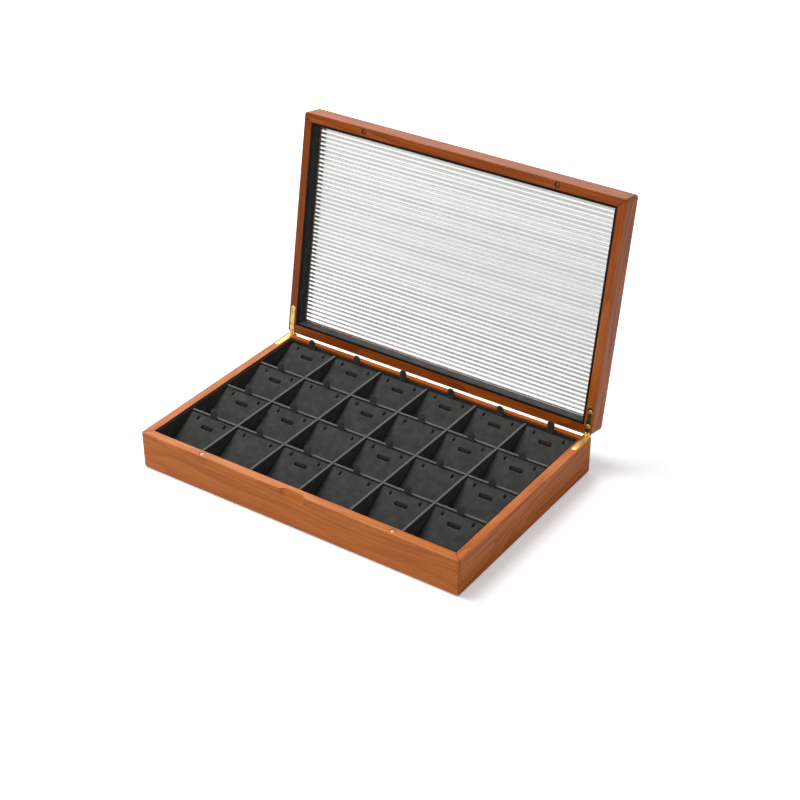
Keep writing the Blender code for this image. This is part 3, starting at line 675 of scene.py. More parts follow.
def dress_tray(cloth, edge_shade_cloth):
    bm = centred_box(OPENING_HALF_WIDTH - FIT_GAP, OPENING_HALF_DEPTH - FIT_GAP, TRAY_BOTTOM, TRAY_TOP)
    tray = new_piece("tray_lining", bm, cloth)
    levels = TRAY_BOTTOM + TRAY_FLOOR, TRAY_TOP + OVERRUN
    hollow = new_piece("hollow", centred_box(TRAY_INNER_HALF_WIDTH, TRAY_INNER_HALF_DEPTH, *levels))
    cut(tray, hollow)
    settle(tray, COVER_ROUNDING, 3)
    remove(hollow)
    # painted shade: the tray's rim takes the darker cloth
    paint_edge_shade(tray, edge_shade_cloth, lambda level: level > TRAY_TOP - COVER_ROUNDING)
    hand_over(tray, "base", "lining", "liner_tray")


def partition_outline(half_length, crossings, slot_from_top):
    """A board that is cut half through at each crossing."""
    middle = (SEAT_LEVEL + PARTITION_TOP) / 2
    half_slot = PARTITION_THICKNESS / 2 + FIT_GAP
    edge, far, notch = PARTITION_TOP, SEAT_LEVEL, middle - FIT_GAP / 2
    if not slot_from_top:
        edge, far, notch = SEAT_LEVEL, PARTITION_TOP, middle + FIT_GAP / 2
    outline = [(-half_length, far), (-half_length, edge)]
    for place in crossings:
        outline += [(place - half_slot, edge), (place - half_slot, notch)]
        outline += [(place + half_slot, notch), (place + half_slot, edge)]
    return outline + [(half_length, edge), (half_length, far)]


def dress_partitions(cloth):
    across = [(i - CELLS_ACROSS / 2) * PITCH_ACROSS for i in range(1, CELLS_ACROSS)]
    deep = [(CELLS_DEEP / 2 - i) * PITCH_DEEP for i in range(1, CELLS_DEEP)]
    long = partition_outline(TRAY_INNER_HALF_WIDTH - FIT_GAP, across, True)
    cross = partition_outline(TRAY_INNER_HALF_DEPTH - FIT_GAP, deep[::-1], False)
    half = PARTITION_THICKNESS / 2
    for kind, outline, places, axis in (("long", long, deep, "Y"), ("cross", cross, across, "X")):
        for i, place in enumerate(places, 1):
            bm = prism(outline, place - half, place + half, axis)
            board = settle(new_piece(f"covered_partition_{kind}_{i}", bm, cloth), COVER_ROUNDING, 3)
            hand_over(board, "base", "lining", f"partition_{kind}_{i}")


def dress_lid_lining(cloth, edge_shade_cloth):
    bottom, top = LID_BOTTOM + LINING_SETBACK, RIB_TIPS - FIT_GAP
    outer_x, outer_y = OPENING_HALF_WIDTH - FIT_GAP, OPENING_HALF_DEPTH - FIT_GAP
    inner_x, inner_y = outer_x - LINING_THICKNESS, outer_y - LINING_THICKNESS
    end_y = inner_y - FIT_GAP
    boards = {
        "front": ((-outer_x, -outer_y, bottom), (outer_x, -inner_y, top)),
        "back": ((-outer_x, inner_y, bottom), (outer_x, outer_y, top)),
        "left": ((-outer_x, -end_y, bottom), (-inner_x, end_y, top)),
        "right": ((inner_x, -end_y, bottom), (outer_x, end_y, top)),
    }
    for side, corners in boards.items():
        board = settle(new_piece(f"lid_board_{side}", box(*corners), cloth), COVER_ROUNDING, 3)
        # painted shade: the boards' edges at the mating face take the darker cloth
        paint_edge_shade(board, edge_shade_cloth, lambda level: level < bottom + COVER_ROUNDING)
        hand_over(board, "lid", "lining", f"lid_lining_{side}")


# Foam pads


def rounded_distance(x, y, middle, half, radius):
    """How far a point lies outside a rounded rectangle, or inside it where negative."""
    over_x = abs(x - middle[0]) - half[0] + radius
    over_y = abs(y - middle[1]) - half[1] + radius
    return math.hypot(max(over_x, 0), max(over_y, 0)) + min(max(over_x, over_y), 0) - radius


def rounded_ring(middle, half, radius, offset, spacing):
    """Points round a rounded rectangle grown by offset, no further apart than spacing."""
    radius = max(radius + offset, SHARPEST_CORNER)
    half = (half[0] + offset, half[1] + offset)
    steps = max(3, round(1.6 * radius / spacing))
    corners = []
    for i, (a, b) in enumerate(CORNER_SIGNS):
        centre = (middle[0] + a * (half[0] - radius), middle[1] + b * (half[1] - radius))
        corners.append(arc(centre, radius, 180 + 90 * i, 270 + 90 * i, steps))
    points = []
    for i, corner in enumerate(corners):
        points += corner
        start, end = Vector(corner[-1]), Vector(corners[(i + 1) % 4][0])
        steps = int((end - start).length / spacing) + 1
        points += [tuple(start.lerp(end, k / steps)) for k in range(1, steps)]
    unique = []
    for point in points:
        if not unique or (Vector(point) - Vector(unique[-1])).length > WELD:
            unique.append(point)
    if (Vector(unique[0]) - Vector(unique[-1])).length < WELD:
        unique.pop()
    return unique


def rolled(distance, radius):
    """How far cloth drops where it rolls over an edge, at a distance from that edge."""
    if distance >= radius:
        return 0.0
    return radius - math.sqrt(max(radius**2 - (radius - distance) ** 2, 0))


def slope_height(y):
    share = (y + PAD_HALF_DEPTH) / (2 * PAD_HALF_DEPTH)
    return PAD_FRONT_HEIGHT + share * (PAD_BACK_HEIGHT - PAD_FRONT_HEIGHT)


def foam_swell():
    """How far the foam lifts its cover at a place on the slope, from a short cloth run on a plain wedge.

    The wedge is run at ten times its size, because the solver's stiffness suits garments.
    """
    grown, margin, frames = 10.0, 0.0006, 20
    corners = [(a * (PAD_HALF_WIDTH - margin), b * (PAD_HALF_DEPTH - margin)) for a, b in CORNER_SIGNS]
    bm = hexahedron([(x, y, 0) for x, y in corners], [(x, y, slope_height(y) - margin) for x, y in corners])
    bm.transform(Matrix.Scale(grown, 4))
    wedge = new_piece("foam_wedge", bm)
    skin = wedge.modifiers.new("even mesh", "REMESH")
    skin.mode, skin.voxel_size = "VOXEL", 0.018
    settle(wedge)
    start = [v.co.copy() for v in wedge.data.vertices]
    held = wedge.vertex_groups.new(name="held")
    held.add([i for i, co in enumerate(start) if co.z < 0.02], 1.0, "REPLACE")
    cloth = wedge.modifiers.new("cover", "CLOTH")
    cloth.settings.use_pressure, cloth.settings.uniform_pressure_force = True, 4.0
    cloth.settings.effector_weights.gravity = 0
    cloth.settings.vertex_group_mass = "held"
    cloth.point_cache.frame_start, cloth.point_cache.frame_end = 1, frames
    scene = bpy.context.scene
    for number in range(1, frames + 1):
        scene.frame_set(number)
    swollen = make_plain(wedge).data
    scene.frame_set(1)
    cap = PAD_SWELL * grown
    for before, vertex in zip(start, swollen.vertices):
        move = vertex.co - before
        if move.length > cap:
            vertex.co = before + move * (cap / move.length)
    tree = BVHTree.FromPolygons([v.co for v in swollen.vertices], [p.vertices for p in swollen.polygons])
    remove(wedge)
    bpy.data.meshes.remove(swollen)

    def lift(x, y):
        hit = tree.ray_cast(Vector((x * grown, y * grown, 1.0)), Vector((0, 0, -1)))[0]
        return 0.0 if hit is None else hit.z / grown - (slope_height(y) - margin)

    return lift


class Cover:
    """The microfibre over one pad: its height at each place, with its rolled edges and openings."""

    def __init__(self, lift, has_slot, place):
        self.lift = lift
        self.place = Vector((*place, 0))
        slits = [Vector((side * SLIT_PLACE.x, SLIT_PLACE.y)) for side in (-1, 1)]
        # middle, half size, corner radius, lip and depth of each opening
        self.openings = [(slit, SLIT_HALF, SLIT_CORNER, SLIT_LIP, SLIT_DEPTH) for slit in slits]
        if has_slot:
            self.openings.append((SLOT_PLACE, SLOT_HALF, SLOT_HALF.y, SLOT_LIP, SLOT_DEPTH))

    def height(self, x, y):
        inside = -rounded_distance(x, y, (0, 0), (PAD_HALF_WIDTH, PAD_HALF_DEPTH), PAD_CORNER)
        share = min(max(inside / CROWN_REACH, 0), 1)
        crown = self.lift(x, y) * share * share * (3 - 2 * share)
        spot = Vector((x, y, 0)) + self.place
        wrinkle = WRINKLE_HEIGHT * share * noise.noise(spot / WRINKLE_LENGTH)
        z = slope_height(y) + min(max(crown, 0), PAD_SWELL) + wrinkle - rolled(max(inside, 0), PAD_ROUNDING)
        for middle, half, radius, lip, _ in self.openings:
            away = max(rounded_distance(x, y, middle, half, radius), 0)
            # a slot's flap leaves the cover level on its back side
            level = min(max((y - middle.y) / half.y + 0.5, 0), 1) if middle == SLOT_PLACE else 0
            z -= (1 - level) * (rolled(away, lip) + DENT_DEPTH * math.exp(-((away / DENT_REACH) ** 2)))
        return z


def pressed_flap(co):
    """Where a slot's edge leads: its back side is a flap pressed to the front edge, open at both ends."""
    front = SLOT_PLACE.y - SLOT_HALF.y
    open_share = 0.50 + 0.50 * min(abs(co.x) / SLOT_HALF.x, 1) ** 5
    y = front + (co.y - front) * open_share
    return co.x * 0.98, y, slope_height(y) - FLAP_DEPTH


def fan_down(bm, ring, levels, upper=0, inner=0):
    """Walls from a ring of corners down through the levels, each a function of a corner, closed by one face.

    Down to the first level they take the upper material, and below it the inner one.
    """
    current = ring
    for number, level in enumerate(levels):
        lower = [bm.verts.new(level(v.co)) for v in ring]
        for i in range(len(ring)):
            wall = bm.faces.new((current[i - 1], current[i], lower[i], lower[i - 1]))
            wall.material_index = inner if number else upper
        current = lower
    bm.faces.new(current).material_index = inner


def pad_mesh(cover):
    """A pad as one closed skin: fine rings at every rolled edge and an even net between them."""
    outline = (0, 0), (PAD_HALF_WIDTH, PAD_HALF_DEPTH), PAD_CORNER
    shares = [1 - math.cos(math.radians(18 * k)) for k in range(6)]
    points, edges = [], []

    def take(ring):
        first = len(points)
        points.extend(ring)
        edges.extend((first + i, first + (i + 1) % len(ring)) for i in range(len(ring)))
        return range(first, len(points))

    def rolled_edge(shape, width, spacing):
        """Rings across a rolled edge, the rim first; the rim is given back."""
        return [take(rounded_ring(*shape, width * share, spacing)) for share in shares][0]

    rims = [rolled_edge(outline, -PAD_ROUNDING, 2.2 * MM)]
    for *shape, lip, _ in cover.openings:
        rims.append(rolled_edge(shape, lip, RING_GAP))
        take(rounded_ring(*shape, lip + RING_GAP, 1.4 * MM))
    count_x, count_y = 22, 21
    for i in range(1, count_x):
        for j in range(1, count_y):
            x = PAD_HALF_WIDTH * (2 * i / count_x - 1)
            y = PAD_HALF_DEPTH * (2 * j / count_y - 1)
            inside = -rounded_distance(x, y, *outline)
            if inside >= PAD_ROUNDING + 0.8 * MM and all(
                rounded_distance(x, y, *shape) > lip + 1.7 * MM for *shape, lip, _ in cover.openings
            ):
                points.append((x, y))

    flat, _, faces, origins, _, _ = delaunay_2d_cdt([Vector(p) for p in points], edges, [], 0, 1e-7)
    bm = bmesh.new()
    corners = [bm.verts.new((p.x, p.y, cover.height(p.x, p.y))) for p in flat]
    new_place = {source: i for i, sources in enumerate(origins) for source in sources}
    for face in faces:
        x, y = (sum(flat[i][axis] for i in face) / len(face) for axis in (0, 1))
        if rounded_distance(x, y, *outline) > 0:
            continue
        if all(rounded_distance(x, y, *shape) >= 0 for *shape, _, _ in cover.openings):
            bm.faces.new([corners[i] for i in face])

    rings = [[corners[new_place[i]] for i in rim] for rim in rims]
    tuck = 0.4 * MM
    narrower, shallower = 1 - tuck / PAD_HALF_WIDTH, 1 - tuck / PAD_HALF_DEPTH
    hem = [lambda co: (co.x, co.y, tuck), lambda co: (co.x * narrower, co.y * shallower, 0)]
    fan_down(bm, rings[0], hem)
    # painted shade: the openings' insides take the darker cloth, and a slot's flap the flap cloth
    for ring, (middle, *_, depth) in zip(rings[1:], cover.openings):
        floor = slope_height(middle.y) - depth
        levels, upper = [lambda co: (co.x, co.y, floor)], 0
        if middle == SLOT_PLACE:
            levels, upper = [pressed_flap, lambda co: (*pressed_flap(co)[:2], floor)], 2
        fan_down(bm, ring, levels, upper, inner=1)
    bmesh.ops.delete(bm, geom=[v for v in bm.verts if not v.link_faces], context="VERTS")
    return bm


def add_tab(bm, rise, lean):
    """The pull tab sewn in at the pad's back: a doubled ribbon with a round end, leaning back at its tip."""
    tab = bmesh.new()
    radius = TAB_WIDTH / 2
    root, tip = PAD_BACK_HEIGHT - TAB_ROOT, PAD_BACK_HEIGHT + rise
    outline = [(-radius, root), (radius, root), *arc((0, tip - radius), radius, 0, 180, 16)]
    back = PAD_HALF_DEPTH - TAB_FROM_BACK
    prism(outline, back - TAB_THICKNESS, back, "Y", tab)
    bmesh.ops.recalc_face_normals(tab, faces=tab.faces)
    round_edges(tab, lambda a, b: abs(a.co.y - b.co.y) < WELD, TAB_HEM, 3)
    strips = 8
    for k in range(1, strips):
        level = root + (tip - root) * k / strips
        everything = [*tab.verts, *tab.edges, *tab.faces]
        bmesh.ops.bisect_plane(tab, geom=everything, plane_co=(0, 0, level), plane_no=(0, 0, 1))
    free = PAD_BACK_HEIGHT - 0.001
    for vertex in tab.verts:
        share = max(vertex.co.z - free, 0) / (tip - free)
        vertex.co.y += lean * share * share
    bmesh.ops.triangulate(tab, faces=tab.faces)
    mesh = bpy.data.meshes.new("tab")
    tab.to_mesh(mesh)
    tab.free()
    bm.from_mesh(mesh)
    bpy.data.meshes.remove(mesh)


def dress_pads(*cloths):
    """The pads, in the cloths of their covers, of the openings' insides and of the flaps; the last two are
    darker as painted shade.
    """
    lift = foam_swell()
    pick = random.Random("pads")
    for row in range(1, CELLS_DEEP + 1):
        for column in range(1, CELLS_ACROSS + 1):
            x = (column - (CELLS_ACROSS + 1) / 2) * PITCH_ACROSS
            y = ((CELLS_DEEP + 1) / 2 - row) * PITCH_DEEP
            bm = pad_mesh(Cover(lift, (row, column) not in PLAIN_PADS, (x, y)))
            rise = (TAB_RISE_BACK_ROW if row == 1 else TAB_RISE) + LONG_TABS.get((row, column), 0)
            add_tab(bm, rise, pick.uniform(2.0, 2.7) * MM if row > 1 else 0)
            bm.transform(Matrix.Translation((x, y, SEAT_LEVEL)))
            node = f"pad_r{row}_c{column}"
            pad = new_piece(f"foam_{node}", bm)
            for cloth in cloths:
                pad.data.materials.append(cloth)
            pad.data.shade_smooth()
            pad.data.set_sharp_from_angle(angle=math.radians(62))
            hand_over(pad, node, "pad", node)


# Lid window


def nodes_tree(name, sockets):
    """A geometry tree, the function that adds its nodes, and its named inputs.

    Each of its inputs beside the geometry is given as a name, a kind of socket and a value.
    """
    tree = bpy.data.node_groups.new(name, "GeometryNodeTree")
    tree.interface.new_socket("Geometry", in_out="OUTPUT", socket_type="NodeSocketGeometry")
    for label, kind, _ in (("Geometry", "Geometry", None), *sockets):
        tree.interface.new_socket(label, in_out="INPUT", socket_type=f"NodeSocket{kind}")
    return tree, partial(add, tree), add(tree, "NodeGroupInput").outputs


def grow(piece, tree, sockets):
    """Runs the tree on the piece with its inputs set, and keeps the outcome as a plain mesh."""
    modifier = piece.modifiers.new(tree.name, "NODES")
    modifier.node_group = tree
    values = {label: value for label, _, value in sockets}
    for item in tree.interface.items_tree:
        if item.in_out == "INPUT" and item.name in values:
            modifier[item.identifier] = values[item.name]
    make_plain(piece)
    bpy.data.node_groups.remove(tree)


def finish_tree(node, mesh, material):
    real = node("GeometryNodeRealizeInstances", [mesh])
    node("NodeGroupOutput", [node("GeometryNodeSetMaterial", {"Geometry": real, "Material": material})])


def dress_window(glass):
    """The pane: ribs from side to side on its inner face, worked out by a rule across the depth."""
    half_width = OPENING_HALF_WIDTH + PANE_SEAT_WIDTH - FIT_GAP
    half_depth = OPENING_HALF_DEPTH + PANE_SEAT_WIDTH - FIT_GAP
    ribs = int(2 * half_depth / RIB_PITCH)
    sockets = (
        ("Length", "Float", 2 * half_width),
        ("Depth", "Float", 2 * half_depth),
        ("Rib pitch", "Float", RIB_PITCH),
        ("Rib height", "Float", RIB_HEIGHT),
        ("Rib root level", "Float", RIB_ROOT),
        ("Thickness", "Float", WINDOW_THICKNESS),
        ("Steps", "Int", RIB_STEPS * ribs + 1),
        ("Glass", "Material", glass),
    )
    tree, node, given = nodes_tree("reeded pane", sockets)
    size = {"Size X": given["Length"], "Size Y": given["Depth"]}
    net = node("GeometryNodeMeshGrid", {**size, "Vertices X": 2, "Vertices Y": given["Steps"]})
    place = node("SeparateXYZ", [node("GeometryNodeInputPosition")]).outputs["Y"]
    count = node("Math DIVIDE", [place, given["Rib pitch"]])
    # the ribs: a pointed wave made rounder, hanging from the root level
    drop = count
    wave = (("MULTIPLY", math.pi), ("SINE",), ("ABSOLUTE",), ("POWER", RIB_FULLNESS))
    for operation, *numbers in (*wave, ("MULTIPLY", given["Rib height"])):
        drop = node(f"Math {operation}", [drop, *numbers])
    level = node("Math SUBTRACT", [given["Rib root level"], drop])
    lifted = node("CombineXYZ", {"Z": level})
    ribbed = node("GeometryNodeSetPosition", {"Geometry": net, "Offset": lifted})
    up = {"Offset": (0, 0, 1), "Offset Scale": given["Thickness"], "Individual": False}
    drawn = node("GeometryNodeExtrudeMesh", {"Mesh": ribbed, **up})
    height = node("SeparateXYZ", [node("GeometryNodeInputPosition")]).outputs["Z"]
    outside = node("Math ADD", [given["Rib root level"], given["Thickness"]])
    to_flat = node("Math SUBTRACT", [outside, height])
    rise = {"Selection": drawn.outputs["Top"], "Offset": node("CombineXYZ", {"Z": to_flat})}
    flat = node("GeometryNodeSetPosition", {"Geometry": drawn, **rise})
    under = node("GeometryNodeFlipFaces", {"Mesh": ribbed})
    # for the glass: distance from the valley in pitches, share of the way from hinges to front, 1 on the ribs
    from_valley = node("Math PINGPONG", [count, 0.5])
    to_front = node("Math DIVIDE", [place, given["Depth"]])
    share = node("Math SUBTRACT", [0.5, to_front])
    joined = node("GeometryNodeJoinGeometry")
    for sheet, inner in ((flat, 0.0), (under, 1.0)):
        rib = node("CombineXYZ", [from_valley, share, inner])
        mark = {"Geometry": sheet, "Name": "rib", "Value": rib}
        marked = node("GeometryNodeStoreNamedAttribute", mark, data_type="FLOAT_VECTOR", domain="CORNER")
        tree.links.new(marked.outputs[0], joined.inputs[0])
    closed = node("GeometryNodeMergeByDistance", {"Geometry": joined, "Distance": WELD})
    finish_tree(node, closed, given["Glass"])

    pane = new_piece("reeded_window", bmesh.new())
    grow(pane, tree, sockets)
    bm = bmesh.new()
    bm.from_mesh(pane.data)
    bmesh.ops.recalc_face_normals(bm, faces=bm.faces)
    bm.to_mesh(pane.data)
    bm.free()
    pane.data.shade_smooth()
    pane.data.set_sharp_from_angle(angle=math.radians(40))
    hand_over(pane, "lid", "window", "lid_window")


# Hinges, screws and magnets


def half_chord(offset):
    return math.sqrt(BARREL_RADIUS**2 - offset**2)


def barrel_on(foot):
    """The foot's corners, then the barrel's arc round from the last of them to the first."""
    (first_y, first_z), (last_y, last_z) = foot[0], foot[-1]
    start = math.degrees(math.atan2(last_z, last_y))
    end = math.degrees(math.atan2(first_z, first_y)) % 360
    return foot + arc((0, 0), BARREL_RADIUS, start, end, 24)[1:-1]


def knuckle(foot, low, high):
    outline = [(y + HINGE_AXIS.y, z + HINGE_AXIS.z) for y, z in barrel_on(foot)]
    return new_piece("knuckle", prism(outline, low, high, "X"))


def base_foot():
    front, back = -KNUCKLE_FOOT_REACH, HALF_DEPTH - HINGE_AXIS.y
    bottom = BASE_HEIGHT - HINGE_AXIS.z - LEAF_OVERLAP
    return [(front, -half_chord(front)), (front, bottom), (back, bottom), (back, -half_chord(back))]


def lid_foot():
    face = LID_BOTTOM - HINGE_AXIS.z
    inside = face + LEAF_THICKNESS
    root = -BARREL_RADIUS - KNUCKLE_CLEARANCE - LEAF_OVERLAP
    return [(-half_chord(inside), inside), (root, inside), (root, face), (0, face), (0, -BARREL_RADIUS)]


def dress_hinges(brass, rubbed_brass):
    half, half_lid = LEAF_WIDTH / 2, LID_KNUCKLE_WIDTH / 2
    inner = half_lid + KNUCKLE_GAP
    lid_back = HINGE_AXIS.y - BARREL_RADIUS - KNUCKLE_CLEARANCE
    # each leaf's body, metal, back end, mating face, other face, screw heads, foot and knuckles
    leaves = (
        (
            "base", rubbed_brass, HALF_DEPTH, BASE_HEIGHT, BASE_HEIGHT - LEAF_THICKNESS,
            SCREW_HEAD_RADIUS, base_foot(), ((-half, -inner), (inner, half)),
        ),
        (
            "lid", brass, lid_back, LID_BOTTOM, LID_BOTTOM + LEAF_THICKNESS,
            LID_SCREW_HEAD_RADIUS, lid_foot(), ((-half_lid, half_lid),),
        ),
    )
    for side, x in zip(("left", "right"), HINGE_XS):
        hole = circle(HINGE_AXIS.yz, PIN_RADIUS + FIT_GAP)
        bore = new_piece("bore", prism(hole, x - half - OVERRUN, x + half + OVERRUN, "X"))
        for body, metal, back, face, far, head, foot, spans in leaves:
            rims = [circle((x, HALF_DEPTH - inset), head + SINK_MARGIN) for inset in SCREW_INSETS]
            sinks = pockets("sinks", rims, face - SCREW_SINK, face + SCREW_SINK)
            plate = prism(leaf_outline(x, 0, back), min(face, far), max(face, far), "Z")
            leaf = new_piece(f"hinge_plate_{body}_{side}", plate, metal)
            knuckles = [knuckle(foot, x + low, x + high) for low, high in spans]
            cut(leaf, *knuckles, operation="UNION")
            cut(leaf, bore, sinks)
            settle(leaf, LEAF_EASED)
            hand_over(leaf, body, "brass", f"hinge_{side}_{body}_leaf")
            remove(sinks, *knuckles)
        remove(bore)

        turns = (0, 0.5, 1.0, math.pi / 2)
        dome = [(PIN_HEAD_RADIUS * math.sin(a), half + PIN_HEAD_RISE * math.cos(a)) for a in turns]
        profile = dome + [(radius, half + PIN_HEAD_GAP) for radius in (PIN_HEAD_RADIUS, PIN_RADIUS)]
        profile += [(r, -z) for r, z in reversed(profile)]
        bm = turned(profile, CIRCLE_SIDES)
        bm.transform(Matrix.Translation((x, *HINGE_AXIS.yz)) @ Matrix.Rotation(math.pi / 2, 4, "Y"))
        pin = settle(new_piece(f"hinge_pin_domed_{side}", bm, brass))
        hand_over(pin, "base", "brass", f"hinge_{side}_pin")


def set_in_rails(name, shape, places, upside_down, material, seed):
    """Copies of one small turned part, each at its place with its own turn, as one plain mesh."""
    sockets = (
        ("Part", "Object", shape),
        ("Flip", "Float", math.pi if upside_down else 0.0),
        ("Seed", "Int", seed),
        ("Metal", "Material", material),
    )
    tree, node, given = nodes_tree(name, sockets)
    source = node("GeometryNodeObjectInfo", {"Object": given["Part"]}, transform_space="ORIGINAL")
    full_turn = {"Seed": given["Seed"], 2: 0.0, 3: math.tau}
    turn = node("FunctionNodeRandomValue", full_turn, data_type="FLOAT")
    angles = node("CombineXYZ", {"X": given["Flip"], "Z": turn.outputs[1]})
    spots = node("GeometryNodeMeshToPoints", {"Mesh": given["Geometry"]})
    copy = {"Instance": source.outputs["Geometry"], "Rotation": angles}
    copies = node("GeometryNodeInstanceOnPoints", {"Points": spots, **copy})
    finish_tree(node, copies, given["Metal"])
    bm = bmesh.new()
    for place in places:
        bm.verts.new(place)
    piece = new_piece(name, bm)
    grow(piece, tree, sockets)
    return piece


def slotted_screw(radius, dome):
    """A countersunk wood screw: domed head with a straight slot, then its shank."""
    profile = [(0, dome), (radius * 0.4, dome * 0.88), (radius * 0.75, dome * 0.5)]
    profile += [(radius * 0.94, 0.02 * MM), (radius, -0.06 * MM)]
    profile += [(SCREW_SHANK_RADIUS, z) for z in (-0.9 * MM, -SCREW_LENGTH)] + [(0, -SCREW_LENGTH)]
    screw = new_piece("slotted_screw", turned(profile, 24))
    slot = new_piece("slot", centred_box(3 * MM, SCREW_SLOT / 2, -0.35 * MM, 1 * MM))
    cut(screw, slot)
    settle(screw)
    remove(slot)
    return screw


def chamfered_disc(sunk, chamfer):
    """A catch magnet: a nickel-plated disc with a chamfer, its face sunk a little under the wood."""
    profile = [(0, -sunk), (MAGNET_RADIUS - chamfer, -sunk), (MAGNET_RADIUS, -sunk - 0.3 * MM)]
    profile += [(MAGNET_RADIUS, -MAGNET_THICKNESS), (0, -MAGNET_THICKNESS)]
    return settle(new_piece("catch_disc", turned(profile, 40)))


def dress_fittings(brass, metals):
    for part, nickel, level, radius, dome, sunk, chamfer in (
        ("base", metals[0], BASE_HEIGHT, SCREW_HEAD_RADIUS, 0.03 * MM, 0.20 * MM, 0.4 * MM),
        ("lid", metals[1], LID_BOTTOM, LID_SCREW_HEAD_RADIUS, 0.24 * MM, 0.45 * MM, 1.1 * MM),
    ):
        upside_down = part == "lid"
        screw, disc = slotted_screw(radius, dome), chamfered_disc(sunk, chamfer)
        screws = [(x, HALF_DEPTH - inset, level) for x in HINGE_XS for inset in SCREW_INSETS]
        piece = set_in_rails(f"hinge_screws_{part}", screw, screws, upside_down, brass, 3)
        hand_over(piece, part, "brass")
        discs = [(x, MAGNET_Y, level) for x in MAGNET_XS]
        piece = set_in_rails(f"catch_magnets_{part}", disc, discs, upside_down, nickel, 5)
        hand_over(piece, part, "magnet", f"{part}_magnet_left", f"{part}_magnet_right")
        remove(screw, disc)


# Floor, light and camera


def any_ray(node, *kinds):
    """1 for rays of these kinds and 0 for others."""
    rays = node("LightPath").outputs
    found = rays[kinds[0]]
    for kind in kinds[1:]:
        found = node("Math MAXIMUM", [found, rays[kind]])
    return found


def lay_floor():
    material, node = blank_material("matt white paper")
    place = node("TexCoord").outputs["Object"]
    grain = node("TexNoise", {"Vector": place, "Scale": 1 / (3 * MM), "Detail": 2.0})
    bump = node("Bump", {"Height": grain, "Strength": 0.02, "Distance": 0.05 * MM})
    paper = node("BsdfDiffuse", {"Color": linear("F4F4F4"), "Normal": bump})
    # the paper glows for the camera alone, to show white in front and beyond the shadow's reach
    away = node("VectorMath LENGTH", [place]).outputs["Value"]
    far = node("MapRange", [away, 0.40, 0.90, NEAR_GLOW, 1.0])
    depth = node("SeparateXYZ", [place]).outputs["Y"]
    front = node("MapRange", [depth, -HALF_DEPTH + 0.002, -HALF_DEPTH - 0.005, NEAR_GLOW, 1.0])
    glow = node("Math MAXIMUM", [far, front])
    lift = node("Emission", {"Color": linear("F6FBFF"), "Strength": glow})
    seen = node("AddShader", [paper, lift])
    looked_at = any_ray(node, "Is Camera Ray", "Is Transmission Ray")
    surfaced(material, node("MixShader", [looked_at, paper, seen]))
    bm = bmesh.new()
    bmesh.ops.create_grid(bm, x_segments=1, y_segments=1, size=12)
    bm.transform(Matrix.Translation((0, 0, -0.0002)))
    new_piece("floor", bm, material)


def set_world():
    world = bpy.data.worlds.new("white surround")
    bpy.context.scene.world = world
    world.use_nodes = True
    world.node_tree.nodes.clear()
    node = partial(add, world.node_tree)
    seen = any_ray(node, "Is Camera Ray", "Is Glossy Ray", "Is Transmission Ray")
    strength = node("MapRange", {0: seen, 3: 0.15, 4: 1.0})
    surround = node("Background", {"Color": linear("FFFFFF"), "Strength": strength})
    node("OutputWorld", {"Surface": surround})


def softbox(name, place, aim, size, watts, colour=(1, 1, 1)):
    lamp = bpy.data.lights.new(name, "AREA")
    lamp.shape = "RECTANGLE"
    lamp.size, lamp.size_y = size
    lamp.energy, lamp.color = watts, colour
    placed(name, lamp, place, (Vector(place) - Vector(aim)).to_track_quat("Z", "Y").to_euler())


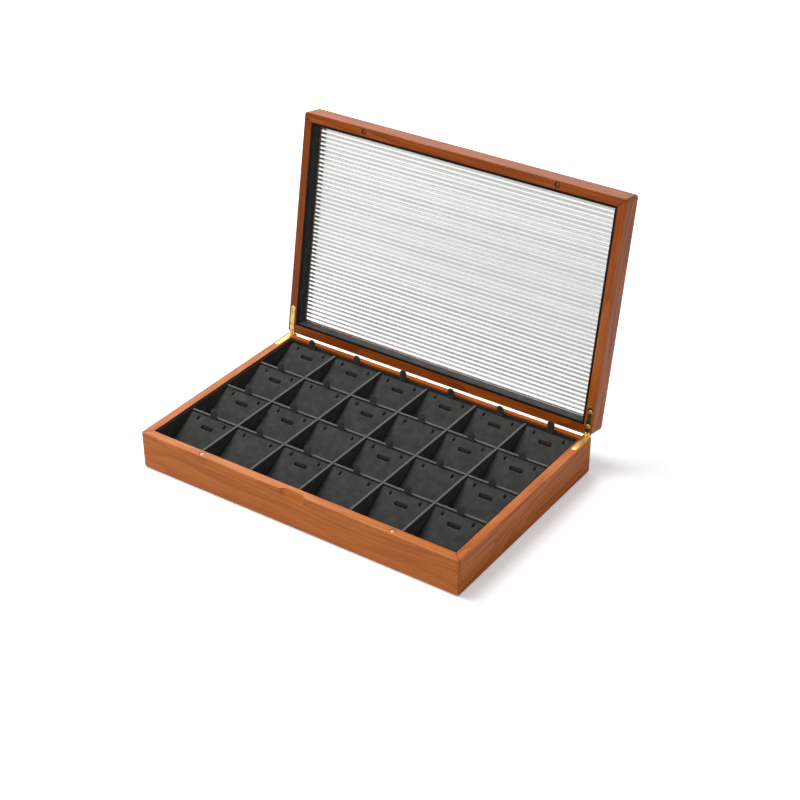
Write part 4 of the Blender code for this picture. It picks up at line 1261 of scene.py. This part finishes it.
def set_lights():
    softbox("overhead softbox", (-0.6, -0.18, 1.6), (0, 0, 0.05), (1.0, 1.0), 25.5)
    # its reflection lies on faces that look up
    softbox("low back softbox", (-0.76, 1.12, 0.85), (0, 0, 0.04), (1.3, 0.5), 5.6, (1.0, 0.92, 0.80))
    softbox("right softbox", (1.8, -0.4, 0.7), (0, 0, 0.05), (1.0, 0.8), 3.2)
    softbox("front softbox", (-0.3, -1.9, 0.8), (0, 0, 0.05), (1.2, 0.8), 3)


def set_camera():
    lens = bpy.data.cameras.new("camera")
    lens.lens, lens.sensor_width = 78.0, 36.0
    turn = math.radians(90 - 32.008), 0, math.radians(34.19)
    bpy.context.scene.camera = placed("camera", lens, (0.7799, -1.0921, 0.9148), turn)


def dress_case():
    wood = lacquered_cherry()
    board_shades = ("313131", "393938", "434342")
    board_cloth = microfibre("dark grey microfibre on board", board_shades, 11)
    # the partitions' crests take a painted highlight
    crest = PARTITION_TOP - 0.5 * MM
    crest_highlight_cloth = microfibre("dark grey microfibre with a worn crest", board_shades, 11, crest)
    # a darker cloth for painted shade on rims, board edges and inside the pads' openings
    edge_shade_cloth = microfibre("pressed edge of dark grey microfibre", ("0C0C0C", "121211", "181817"), 11)
    # the slots' flaps are darker as painted shade
    flap_shade_cloth = microfibre("flattened nap of dark grey microfibre", ("232323", "292929", "303030"), 11)
    pad_cloth = microfibre("dark grey microfibre on foam", ("363635", "3F3F3E", "484847"), 8)
    brass = plated_metal("polished brass", ("E0BC66", "F2D68A"), 0.14, 0.25)
    rubbed_brass = plated_metal("rubbed brass", ("DCC278", "E8D28A"), 0.30, 0.25)
    # the nickel's warm brown is a painted reflection of the wood; the lid's discs are darker still, a painted
    # reflection of the dark wood round them
    nickel = plated_metal("nickel plate", ("A07C62", "C8A486"), 0.26, 0.3)
    nickel_dark_reflection = plated_metal("worn nickel plate", ("5C4030", "84624C"), 0.30, 0.3)
    glass = reeded_glass()
    dress_base_frame(wood)
    dress_lid_frame(wood)
    dress_tray(board_cloth, edge_shade_cloth)
    dress_partitions(crest_highlight_cloth)
    dress_lid_lining(board_cloth, edge_shade_cloth)
    dress_pads(pad_cloth, edge_shade_cloth, flap_shade_cloth)
    dress_window(glass)
    dress_hinges(brass, rubbed_brass)
    dress_fittings(rubbed_brass, (nickel, nickel_dark_reflection))


set_camera()
set_world()
set_lights()
lay_floor()
dress_case()
bpy.context.scene.view_settings.view_transform = "Standard"
